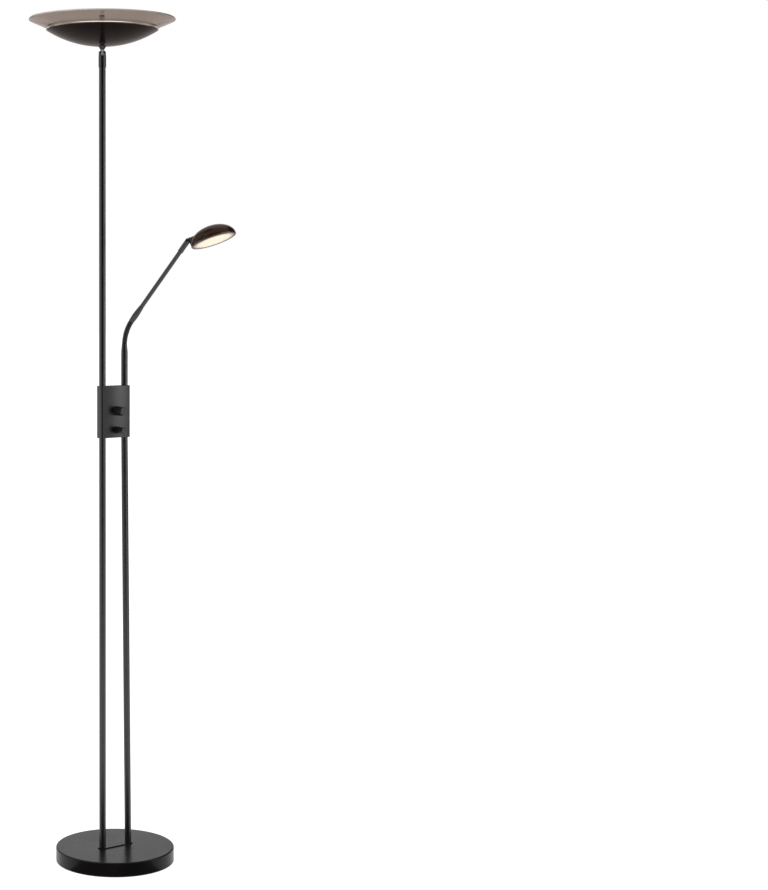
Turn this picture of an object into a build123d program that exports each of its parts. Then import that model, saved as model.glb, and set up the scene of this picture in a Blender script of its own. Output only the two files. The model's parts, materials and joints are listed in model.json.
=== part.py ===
from build123d import *
import math
import os

# Torchiere floor lamp with a reading light, all sizes in millimetres.
# Origin: centre of the base's floor face. +Z is up, +X runs from the main pole
# to the reading pole, and -Y is the side that the dimmer knobs face.

os.makedirs("parts", exist_ok=True)

# ---------------------------------------------------------------- clearances
seat_gap = 0.1           # fixed pieces that seat on a curved face
slip_gap = 0.05          # radial gap of pins, studs and shafts in their holes
hole_gap = 0.15          # radial gap of tubes in cover and box holes
rub_gap = 0.2            # faces that turn past each other
joint_gap = 0.3          # curved faces on bodies that move

# ---------------------------------------------------------------------- base
base_diameter = 254.0
base_height = 31.0
cover_wall = 1.5
cover_edge_radius = 2.5
cover_floor_gap = 1.0
pad_thickness = 2.0
pad_inset = 5.0
base_plate_thickness = 1.2
weight_web = 18.3
weight_rim_width = 17.0
base_screw_count = 4
base_screw_diameter = 4.0
base_screw_head_diameter = 7.5
base_screw_head_height = 1.4
base_screw_length = 12.0
inlet_height = 11.0
inlet_bore = 6.0
inlet_body_diameter = 9.0
inlet_flange_diameter = 13.0
inlet_flange_thickness = 1.5

# --------------------------------------------------------------------- poles
pole_diameter = 14.0
pole_wall = 1.2
main_pole_x = -32.5
foot_spacing = 66.9
box_pole_spacing = 57.1
foot_plate_width = 20.0
foot_plate_thickness = 2.0
bush_length = 20.0
stud_diameter = 10.0
stud_bore = 6.0
stud_tail = 6.0
foot_nut_flats = 16.0
foot_nut_height = 5.0
coupler_length = 44.0
coupler_bore = 8.0
coupler_lean_gap = 0.3

# --------------------------------------------------------------- control box
box_bottom = 914.5
box_height = 110.5
box_wall = 1.6
box_depth_clearance = 0.9
box_corner_radius = 3.0
box_edge_chamfer = 0.6
box_lid_depth = 5.0
box_seam = 0.3
box_boss_diameter = 6.0
box_screw_diameter = 3.0
box_screw_head_diameter = 5.6
box_screw_head_height = 1.2
box_screw_length = 14.0
board_margin = 2.0
board_thickness = 1.6
board_edge = 4.0
capacitor_diameter = 6.0
capacitor_length = 14.0
choke_size = 10.0
choke_height = 5.5

# --------------------------------------------------------- dimmers and knobs
knob_offset_x = 1.25
upper_knob_rise = 57.3
lower_knob_rise = 16.4
upper_knob_diameter = 20.0
lower_knob_diameter = 15.0
knob_reach = 28.0
knob_face_gap = 0.6
knob_taper = 0.5
knob_edge = 1.2
knob_recess_depth = 5.5
knob_recess_gap = 0.5
knob_mark_width = 1.0
knob_mark_depth = 0.5
dimmer_body_size = 16.0
dimmer_body_depth = 7.0
dimmer_bush_diameter = 7.0
dimmer_bush_reach = 4.5
dimmer_nut_flats = 9.5
dimmer_nut_height = 2.0
shaft_diameter = 5.0
shaft_reach = 19.0
shaft_root = 4.0

# ------------------------------------------------------- knuckle of the head
head_yaw = -35.0
pivot_height = 1723.3
knuckle_diameter = 16.0
knuckle_skirt = 27.9
knuckle_socket = 16.0
tongue_thickness = 4.8
tongue_diameter = 10.4
tongue_web_width = 8.0
knuckle_bore = 6.0
pivot_diameter = 4.0
pivot_head_diameter = 6.8
pivot_head_height = 2.2
pivot_nut_flats = 7.0
pivot_nut_height = 3.0
pivot_end_inset = 0.4
neck_top_diameter = 17.0
neck_rise = 7.9
stem_diameter = 8.0
stem_bore = 5.0
stem_socket = 3.4
stem_nut_flats = 13.0
stem_nut_height = 5.0
spacer_diameter = 14.0

# -------------------------------------------------------------- uplight head
diffuser_radius = 101.2
diffuser_wall = 1.8
diffuser_height = 12.7
diffuser_edge = 1.5
diffuser_side_gap = 0.9
seat_width = 11.1
rim_step = 4.6
dish_depth = 33.5
dish_flat_radius = 12.0
dish_wall = 1.5
lip_rise = 2.8
shade_slope = 0.4369
shade_inner_setback = 1.5
shade_overhang = 41.6
shade_thickness = 4.0
shade_edge = 0.6
led_plate_setback = 0.6
led_plate_thickness = 2.0
led_bar_count = 15
led_bar_inner_radius = 39.3
led_bar_length = 27.5
led_bar_width = 6.0
led_bar_height = 1.0
well_count = 3
well_setback = 6.4
well_radius = 9.8
well_depth = 9.4
post_diameter = 8.0
shade_screw_setback = 0.5
shade_screw_diameter = 4.0
shade_screw_head_diameter = 7.5
shade_screw_head_height = 2.5
shade_screw_tail = 1.5
clip_foot_length = 7.4
clip_riser_inset = 0.2
clip_reach = 13.5
clip_width = 11.8
clip_thickness = 2.0
terminal_setback = 15.8
terminal_length = 23.6
terminal_width = 8.5
terminal_height = 3.0
terminal_pin_spacing = 15.5
terminal_pin_diameter = 2.0

# --------------------------------------------------------------- reading arm
arm_yaw = -67.0
stub_top = 1095.6
ferrule_rise = 17.0
ferrule_top_radius = 5.5
spigot_length = 20.0
wire_radius = 1.6
link_count = 6
link_pitch = 8.5
link_radius = 5.4
link_gap = 1.5
link_bend = 39.15
ball_radius = 4.0
rib_count = 3
rib_groove_width = 0.8
rib_groove_depth = 0.6
grip_radius = 6.35
grip_start = 14.0
grip_end = 20.0
grip_length = 40.0
grip_tip_radius = 4.9
arm_diameter = 9.0
arm_wall = 1.0
arm_socket_start = 22.0
arm_pivot_distance = 219.8
arm_knuckle_diameter = 11.2
arm_knuckle_skirt = 30.0
arm_knuckle_solid = 14.0
arm_tongue_thickness = 3.8
arm_tongue_diameter = 9.2
arm_pivot_diameter = 3.0
arm_pivot_head_diameter = 5.0
arm_pivot_head_height = 1.6
arm_pivot_nut_flats = 5.0
arm_pivot_nut_height = 2.0

# -------------------------------------------------------------- reading head
reading_lean = 21.2
reading_pivot_reach = 57.3
reading_pivot_rise = 21.05
reading_radius = 48.4
reading_height = 29.6
reading_wall = 2.0
reading_boss_radius = 12.9
reading_boss_rise = 12.2
reading_flange_thickness = 2.5
reading_flange_width = 10.0
reading_flange_height = 8.0
reading_web_height = 6.4
reading_spigot_diameter = 5.0
reading_spigot_length = 6.0
reading_board_radius = 38.0
reading_board_rise = 8.0
reading_board_thickness = 1.6
reading_post_circle_radius = 28.3
reading_post_diameter = 6.0
reading_screw_diameter = 3.0
reading_screw_head_diameter = 5.5
reading_screw_head_height = 1.6
reading_screw_length = 6.0
reading_led_size = 3.5
reading_led_height = 0.7
reading_lens_radius = 43.8
reading_lens_thickness = 1.8
reading_ring_depth = 2.5
reading_ring_lip = 1.5
reading_ring_collar = 4.0
reading_ring_collar_wall = 1.6

# ------------------------------------------------------------ derived places
pole_bore = pole_diameter - 2 * pole_wall
base_radius = base_diameter / 2
weight_radius = base_radius - cover_wall - rub_gap
weight_top = base_height - cover_wall - rub_gap
weight_floor = pad_thickness + base_plate_thickness
weight_ceiling = weight_top - weight_web
base_screw_circle = weight_radius - weight_rim_width / 2
foot_top = base_height + foot_plate_thickness
reading_foot_x = main_pole_x + foot_spacing
stub_x = main_pole_x + box_pole_spacing
box_x = (main_pole_x + stub_x) / 2
box_width = box_pole_spacing + pole_diameter + 2 * (box_wall + hole_gap)
box_depth = pole_diameter + 2 * (box_wall + box_depth_clearance)
box_face = -box_depth / 2
box_middle = box_bottom + box_height / 2
box_top = box_bottom + box_height
main_joint_height = box_middle
reading_joint_height = box_bottom + 2 * box_wall
board_face = box_face + box_wall + dimmer_body_depth
board_width = box_pole_spacing - pole_diameter - 2 * board_margin
board_height = box_height - 2 * (box_wall + board_margin)
knob_x = box_x + knob_offset_x
upper_knob_height = box_bottom + upper_knob_rise
lower_knob_height = box_bottom + lower_knob_rise
knuckle_radius = knuckle_diameter / 2
knuckle_bottom = pivot_height - knuckle_skirt
main_pole_top = knuckle_bottom + knuckle_socket
tongue_radius = tongue_diameter / 2
slot_floor = tongue_radius + joint_gap
slot_width = tongue_thickness + 2 * slip_gap
neck_bottom = pivot_height + knuckle_radius + joint_gap
dish_bottom = neck_bottom + neck_rise
seat_inner_radius = diffuser_radius + diffuser_side_gap
lip_radius = seat_inner_radius + seat_width
dish_radius = lip_radius + rim_step
shade_inner_radius = seat_inner_radius + shade_inner_setback
shade_radius = lip_radius + shade_overhang
led_plate_radius = diffuser_radius - led_plate_setback
well_circle_radius = diffuser_radius - well_setback
shade_screw_circle_radius = well_circle_radius - shade_screw_setback
clip_inner_radius = well_circle_radius - clip_foot_length
clip_outer_radius = lip_radius + clip_reach
terminal_radius = diffuser_radius - terminal_setback
dish_rim_height = dish_bottom + dish_depth
lip_height = dish_rim_height + lip_rise
bowl_centre_rise = ((dish_radius**2 - dish_flat_radius**2 + dish_depth**2) / (2 * dish_depth))
bowl_sphere = math.hypot(bowl_centre_rise, dish_flat_radius)
bowl_centre = dish_bottom + bowl_centre_rise
shade_cosine = 1 / math.hypot(1, shade_slope)
shade_sine = shade_slope * shade_cosine


def bowl_height(radius, wall):
    """Height of the bowl's skin, wall inside its outer sphere, at a radius from the axis."""
    return bowl_centre - math.sqrt((bowl_sphere - wall)**2 - radius**2)


def seat_height(radius):
    """Height of the cone that the glass ring lies on."""
    return lip_height - (lip_radius - radius) * shade_slope


led_plate_bottom = bowl_height(led_plate_radius, dish_wall) + joint_gap
led_plate_top = led_plate_bottom + led_plate_thickness
diffuser_top = led_plate_top + diffuser_height
well_floor = diffuser_top - well_depth
stem_top = led_plate_top + stem_nut_height + stem_socket
arm_pivot_radius = arm_knuckle_diameter / 2
hinge_step = link_bend / (link_count + 1)


# ------------------------------------------------------------------- helpers
def save(name, *solids):
    """Write one node: a single solid, or a group of separate solids."""
    shape = solids[0] if len(solids) == 1 else Compound(children=list(solids))
    export_step(shape, f"parts/{name}.step")


def turned(outline):
    """Turn a closed outline of (radius, height) points about the Z axis."""
    corners = [(radius, 0, height) for radius, height in outline]
    return revolve(make_face(Polyline(*corners, close=True).edges()), Axis.Z, 360)


def turned_edges(*edges):
    """Turn a closed outline of lines and arcs in the XZ plane about the Z axis."""
    return revolve(make_face([edge for group in edges for edge in group.edges()]), Axis.Z, 360)


def arc(centre, radius, start, end):
    """Arc in the XZ plane, its angles in degrees from +X towards +Z."""
    angles = [math.radians(turn) for turn in (start, (start + end) / 2, end)]
    points = [(centre[0] + radius * math.cos(turn), 0, centre[1] + radius * math.sin(turn))
              for turn in angles]
    return ThreePointArc(*points)


def rod(diameter, low, high):
    """Round bar along Z between two heights."""
    bar = Cylinder(diameter / 2, high - low, align=(Align.CENTER, Align.CENTER, Align.MIN))
    return Pos(0, 0, low) * bar


def rod_x(diameter, start, end):
    """Round bar along X."""
    return Rot(0, 90, 0) * rod(diameter, start, end)


def rod_y(diameter, start, end):
    """Round bar along Y."""
    return Rot(-90, 0, 0) * rod(diameter, start, end)


def tube(diameter, bore, low, high):
    """Round tube along Z."""
    return rod(diameter, low, high) - rod(bore, low, high)


def block(x_range, y_range, z_range):
    """Rectangular block between two corners."""
    size = [high - low for low, high in (x_range, y_range, z_range)]
    corner = Pos(x_range[0], y_range[0], z_range[0])
    return corner * Box(*size, align=(Align.MIN, Align.MIN, Align.MIN))


def hexagon(flats, low, high):
    """Hexagonal bar along Z, by its width over flats."""
    outline = RegularPolygon(radius=flats / 2, side_count=6, major_radius=False)
    return Pos(0, 0, low) * extrude(outline, amount=high - low)


def hex_nut(flats, bore, low, high):
    """Hexagon nut on the Z axis."""
    return hexagon(flats, low, high) - rod(bore, low, high)


def around(count, radius, shape, start=0.0):
    """Copies of a shape moved out along X and set at even steps round Z."""
    step = 360 / count
    return [Rot(0, 0, start + step * turn) * Pos(radius, 0, 0) * shape for turn in range(count)]


def bevelled(corners, cut):
    """The outline with every corner cut off at the same distance along both its sides."""
    points = []
    for index, corner in enumerate(corners):
        for other in (corners[index - 1], corners[(index + 1) % len(corners)]):
            share = cut / math.dist(corner, other)
            points.append(tuple(a + (b - a) * share for a, b in zip(corner, other)))
    return points


def mitre(before, corner, after, wall):
    """The corner point of two sides set back by the wall, to the left of the way they run."""
    normals = []
    for start, end in ((before, corner), (corner, after)):
        length = math.dist(start, end)
        normals.append(((start[1] - end[1]) / length, (end[0] - start[0]) / length))
    (ax, ay), (bx, by) = normals
    scale = wall / (1 + ax * bx + ay * by)
    return (corner[0] + (ax + bx) * scale, corner[1] + (ay + by) * scale)


def slab(low, high):
    """Wide block used to trim a leaning piece level at both ends."""
    reach = 2 * base_diameter
    return block((-reach, reach), (-reach, reach), (low, high))


# ---------------------------------------------------------------------- base
def make_base():
    """Rubber pad, bottom plate, cast weight, spun cover, screws and cord inlet."""
    screw_places = dict(count=base_screw_count, radius=base_screw_circle,
                        start=180 / base_screw_count)
    pad = rod(base_diameter - 2 * pad_inset, 0, pad_thickness)
    head_holes = around(shape=rod(base_screw_head_diameter + 2 * hole_gap, 0, pad_thickness),
                        **screw_places)
    for hole in head_holes:
        pad -= hole
    save("base_pad", pad)

    shank_hole = rod(base_screw_diameter + 2 * slip_gap, 0, base_height)
    shank_holes = around(shape=shank_hole, **screw_places)
    plate = rod(2 * weight_radius, pad_thickness, weight_floor)
    for hole in shank_holes:
        plate -= hole
    save("base_plate", plate)

    screw_top = pad_thickness + base_screw_length
    weight = rod(2 * weight_radius, weight_floor, weight_top)
    weight -= rod(2 * (weight_radius - weight_rim_width), weight_floor, weight_ceiling)
    for hole in around(shape=rod(base_screw_diameter + 2 * slip_gap, 0, screw_top + slip_gap),
                       **screw_places):
        weight -= hole
    notch = inlet_flange_diameter / 2 + rub_gap
    weight -= block((-notch, notch), (0, base_radius), (weight_floor, inlet_height + notch))
    for x in (main_pole_x, reading_foot_x):
        weight -= Pos(x, 0, 0) * rod(stud_diameter + 2 * coupler_lean_gap, 0, base_height)
    save("base_weight", weight)

    inner = base_radius - cover_wall
    turn = base_radius - cover_edge_radius
    ceiling = base_height - cover_wall
    cover = turned_edges(
        Line((0, 0, base_height), (turn, 0, base_height)),
        arc((turn, base_height - cover_edge_radius), cover_edge_radius, 90, 0),
        Polyline((base_radius, 0, base_height - cover_edge_radius),
                 (base_radius, 0, cover_floor_gap), (inner, 0, cover_floor_gap),
                 (inner, 0, ceiling), (0, 0, ceiling), (0, 0, base_height)),
    )
    for x in (main_pole_x, reading_foot_x):
        cover -= Pos(x, 0, 0) * rod(stud_diameter + 2 * coupler_lean_gap, 0, base_height)
    inlet_axis = Pos(0, 0, inlet_height)
    cover -= inlet_axis * rod_y(inlet_body_diameter + 2 * slip_gap, 0, base_diameter)
    save("base_cover", cover)

    screw = rod(base_screw_diameter, pad_thickness, screw_top)
    screw += rod(base_screw_head_diameter, pad_thickness - base_screw_head_height, pad_thickness)
    save("base_screws", *around(shape=screw, **screw_places))

    flange_out = base_radius + seat_gap
    inside_sag = inner - math.sqrt(inner**2 - (inlet_flange_diameter / 2)**2)
    flange_in = inner - inside_sag - seat_gap
    grommet = rod_y(inlet_flange_diameter, flange_out, flange_out + inlet_flange_thickness)
    grommet += rod_y(inlet_body_diameter, flange_in - inlet_flange_thickness, flange_out)
    grommet += rod_y(inlet_flange_diameter, flange_in - inlet_flange_thickness, flange_in)
    grommet -= rod_y(inlet_bore, 0, base_diameter)
    save("cord_grommet", inlet_axis * grommet)


# --------------------------------------------------------------------- poles
foot_point = Vector(reading_foot_x, 0, foot_top)
lean = Vector(stub_x, 0, reading_joint_height) - foot_point
lean_plane = Plane(origin=foot_point, z_dir=lean)
lean_main = Plane(origin=(main_pole_x, 0, foot_top), z_dir=(0, 0, 1))


def make_poles():
    """Foot plate, foot studs with bushes and nuts, both poles and their inner couplers."""
    studs = []
    bushes = []
    nuts = []
    for frame in (lean_main, lean_plane):
        reach = base_height + bush_length
        stud = frame * tube(stud_diameter, stud_bore, -reach, reach)
        studs.append(stud & slab(weight_ceiling - stud_tail + rub_gap, foot_top + bush_length))
        bush = frame * tube(pole_bore - 2 * slip_gap, stud_diameter + 2 * slip_gap, -reach, reach)
        bushes.append(bush & slab(foot_top, foot_top + bush_length))
        nut = hex_nut(foot_nut_flats, stud_diameter + 2 * coupler_lean_gap,
                      weight_ceiling - foot_nut_height, weight_ceiling)
        nuts.append(Pos(frame.origin.X, 0, 0) * nut)
    save("foot_studs", *studs)
    save("foot_bushes", *bushes)
    save("foot_nuts", *nuts)

    plate = extrude(SlotCenterToCenter(foot_spacing, foot_plate_width),
                    amount=foot_plate_thickness)
    plate = Pos(main_pole_x + foot_spacing / 2, 0, base_height) * plate
    for x in (main_pole_x, reading_foot_x):
        plate -= Pos(x, 0, 0) * rod(stud_diameter + 2 * coupler_lean_gap, base_height, foot_top)
    save("foot_plate", plate)

    main = Pos(main_pole_x, 0, 0)
    save("main_pole_lower", main * tube(pole_diameter, pole_bore, foot_top, main_joint_height))
    save("main_pole_upper", main * tube(pole_diameter, pole_bore, main_joint_height,
                                        main_pole_top))
    leaning = lean_plane * tube(pole_diameter, pole_bore, -pole_diameter,
                                lean.length + pole_diameter)
    save("reading_pole", leaning & slab(foot_top, reading_joint_height))
    stub = Pos(stub_x, 0, 0)
    save("reading_stub", stub * tube(pole_diameter, pole_bore, reading_joint_height, stub_top))

    half = coupler_length / 2
    straight = tube(pole_bore - 2 * slip_gap, coupler_bore, main_joint_height - half,
                    main_joint_height + half)
    loose = tube(pole_bore - 2 * coupler_lean_gap, coupler_bore, reading_joint_height - half,
                 reading_joint_height + half)
    save("pole_couplers", main * straight, stub * loose)


# --------------------------------------------------------------- control box
board_screw_x = board_width / 2 - board_edge
board_screw_z = board_height / 2 - board_edge
board_screws = [(box_x + sx * board_screw_x, box_middle + sz * board_screw_z)
                for sx in (-1, 1) for sz in (-1, 1)]
board_back = board_face + board_thickness
knob_places = {"upper": (upper_knob_height, upper_knob_diameter),
               "lower": (lower_knob_height, lower_knob_diameter)}


def make_control_box():
    """Back shell, front lid, its screws, and the board with the two dimmers inside."""
    base = Pos(box_x, 0, box_bottom)
    outer = base * extrude(RectangleRounded(box_width, box_depth, box_corner_radius),
                           amount=box_height)
    for end in (outer.faces().sort_by(Axis.Z)[0], outer.faces().sort_by(Axis.Z)[-1]):
        outer = chamfer(end.edges(), box_edge_chamfer)
    inner = RectangleRounded(box_width - 2 * box_wall, box_depth - 2 * box_wall,
                             box_corner_radius - box_wall)
    shell = outer - Pos(0, 0, box_wall) * base * extrude(inner, amount=box_height - 2 * box_wall)
    for x in (main_pole_x, stub_x):
        shell -= Pos(x, 0, 0) * rod(pole_diameter + 2 * hole_gap, box_bottom, box_top)

    wide = (box_x - box_width, box_x + box_width)
    tall = (box_bottom - box_depth, box_top + box_depth)
    seam = box_face + box_lid_depth
    lid = shell & block(wide, (box_face - box_depth, seam - box_seam / 2), tall)
    back = shell & block(wide, (seam + box_seam / 2, box_depth), tall)
    screws = []
    screw_end = box_depth / 2 - box_screw_length
    for x, z in board_screws:
        place = Pos(x, 0, z)
        hole = place * rod_y(box_screw_diameter + 2 * slip_gap, screw_end - slip_gap, box_depth)
        lid += place * rod_y(box_boss_diameter, box_face + box_wall / 2, board_face)
        back += place * rod_y(box_boss_diameter, board_back, box_depth / 2 - box_wall / 2)
        lid -= hole
        back -= hole
        sink = box_depth / 2 - box_screw_head_height
        back -= place * rod_y(box_screw_head_diameter + 2 * hole_gap, sink, box_depth)
        screw = rod_y(box_screw_diameter, screw_end, sink)
        screw += rod_y(box_screw_head_diameter, sink, box_depth / 2)
        screws.append(place * screw)
    for height, _ in knob_places.values():
        lid -= Pos(knob_x, 0, height) * rod_y(dimmer_bush_diameter + 2 * slip_gap,
                                              box_face - box_wall, box_face + 2 * box_wall)
    save("box_lid", lid)
    save("box_back", back)
    save("box_screws", *screws)

    board = Pos(box_x, board_face + board_thickness / 2, box_middle)
    board *= Box(board_width, board_thickness, board_height)
    for x, z in board_screws:
        board -= Pos(x, 0, z) * rod_y(box_screw_diameter + 2 * slip_gap, -box_depth, box_depth)
    save("dimmer_board", board)

    can_height = (upper_knob_height + box_top) / 2
    can = Pos(box_x, board_face - capacitor_diameter / 2, can_height - capacitor_length / 2)
    choke = block((box_x - choke_size / 2, box_x + choke_size / 2),
                  (board_face - choke_height, board_face),
                  (upper_knob_height - dimmer_body_size / 2 - board_edge - choke_size,
                   upper_knob_height - dimmer_body_size / 2 - board_edge))
    save("driver_parts", can * rod(capacitor_diameter, 0, capacitor_length), choke)


# --------------------------------------------------------- dimmers and knobs
def make_dimmers():
    """Two rotary dimmers with their panel nuts, shafts and knobs."""
    bodies = []
    nuts = []
    for name, (height, diameter) in knob_places.items():
        # local frame: Z runs out of the box face
        place = Pos(knob_x, box_face, height) * Rot(90, 0, 0)
        bore = rod(shaft_diameter + 2 * slip_gap, -box_wall - shaft_root - slip_gap, knob_reach)
        half = dimmer_body_size / 2
        body = block((-half, half), (-half, half),
                     (-box_wall - dimmer_body_depth, -box_wall))
        body += rod(dimmer_bush_diameter, -box_wall, dimmer_bush_reach)
        bodies.append(place * (body - bore))
        nuts.append(place * hex_nut(dimmer_nut_flats, dimmer_bush_diameter + 2 * slip_gap,
                                    0, dimmer_nut_height))
        shaft = rod(shaft_diameter, -box_wall - shaft_root, shaft_reach)
        save(f"dimmer_shaft_{name}", place * shaft)

        radius = diameter / 2
        nut_corner = dimmer_nut_flats / math.sqrt(3)
        recess = nut_corner + knob_recess_gap
        socket = shaft_diameter / 2 + slip_gap
        roof = shaft_reach + slip_gap
        knob = turned([(recess, knob_face_gap), (radius, knob_face_gap),
                       (radius - knob_taper, knob_reach - knob_edge),
                       (radius - knob_taper - knob_edge, knob_reach), (0, knob_reach),
                       (0, roof), (socket, roof), (socket, knob_recess_depth),
                       (recess, knob_recess_depth)])
        knob -= block((-knob_mark_width / 2, knob_mark_width / 2), (radius / 3, radius),
                      (knob_reach - knob_mark_depth, knob_reach))
        save(f"knob_{name}", place * knob)
    save("dimmers", *bodies)
    save("dimmer_nuts", *nuts)


# ------------------------------------------------------------------- knuckle
head_place = Pos(main_pole_x, 0, 0) * Rot(0, 0, head_yaw)


def clevis(radius, skirt, solid, socket_radius, slot, floor, wire):
    """Forked sleeve about a pivot at the local origin, its skirt reaching down the pole."""
    socket = -skirt + solid
    body = turned_edges(
        Polyline((0, 0, radius), (0, 0, socket), (socket_radius, 0, socket),
                 (socket_radius, 0, -skirt), (radius, 0, -skirt), (radius, 0, 0)),
        arc((0, 0), radius, 0, 90),
    )
    body -= rod(2 * wire, socket, 0)
    return body - block((-slot / 2, slot / 2), (-2 * radius, 2 * radius), (-floor, 2 * radius))


def make_knuckle():
    """Forked sleeve on the pole, its pivot screw and nut, and the neck with its tongue."""
    pivot = head_place * Pos(0, 0, pivot_height)
    head_side = -knuckle_radius + pivot_end_inset + pivot_head_height
    nut_side = knuckle_radius - pivot_end_inset - pivot_nut_height
    sleeve = clevis(knuckle_radius, knuckle_skirt, knuckle_socket, pole_diameter / 2 + slip_gap,
                    slot_width, slot_floor, knuckle_bore / 2)
    sleeve -= rod_x(pivot_diameter + 2 * slip_gap, -knuckle_radius, knuckle_radius)
    sleeve -= rod_x(pivot_head_diameter + 2 * slip_gap, -2 * knuckle_radius, head_side)
    pocket = Rot(0, 90, 0) * hexagon(pivot_nut_flats + 2 * slip_gap, nut_side, 2 * knuckle_radius)
    sleeve -= pocket
    save("knuckle_sleeve", pivot * sleeve)

    screw = rod_x(pivot_head_diameter, head_side - pivot_head_height, head_side)
    screw += rod_x(pivot_diameter, head_side, knuckle_radius - pivot_end_inset)
    save("head_pivot_screw", pivot * screw)
    nut = hex_nut(pivot_nut_flats, pivot_diameter + 2 * slip_gap, nut_side,
                  nut_side + pivot_nut_height)
    save("head_pivot_nut", pivot * Rot(0, 90, 0) * nut)

    low = neck_bottom - pivot_height
    high = dish_bottom - pivot_height
    half = tongue_thickness / 2
    neck = rod_x(tongue_diameter, -half, half)
    neck += block((-half, half), (-tongue_web_width / 2, tongue_web_width / 2), (0, low))
    neck += turned([(0, low), (tongue_web_width / 2, low), (neck_top_diameter / 2, high),
                    (0, high)])
    neck -= rod_x(pivot_diameter + 2 * slip_gap, -half, half)
    neck -= rod(stem_diameter + 2 * slip_gap, high - stem_socket, high)
    save("head_neck", pivot * neck)


# -------------------------------------------------------------- uplight head
def bowl_arc(inner_radius, outer_radius, wall):
    """Arc of the bowl's skin between two radii from the axis."""
    middle = (inner_radius + outer_radius) / 2
    points = [(r, 0, bowl_height(r, wall)) for r in (inner_radius, middle, outer_radius)]
    return ThreePointArc(*points)


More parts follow.
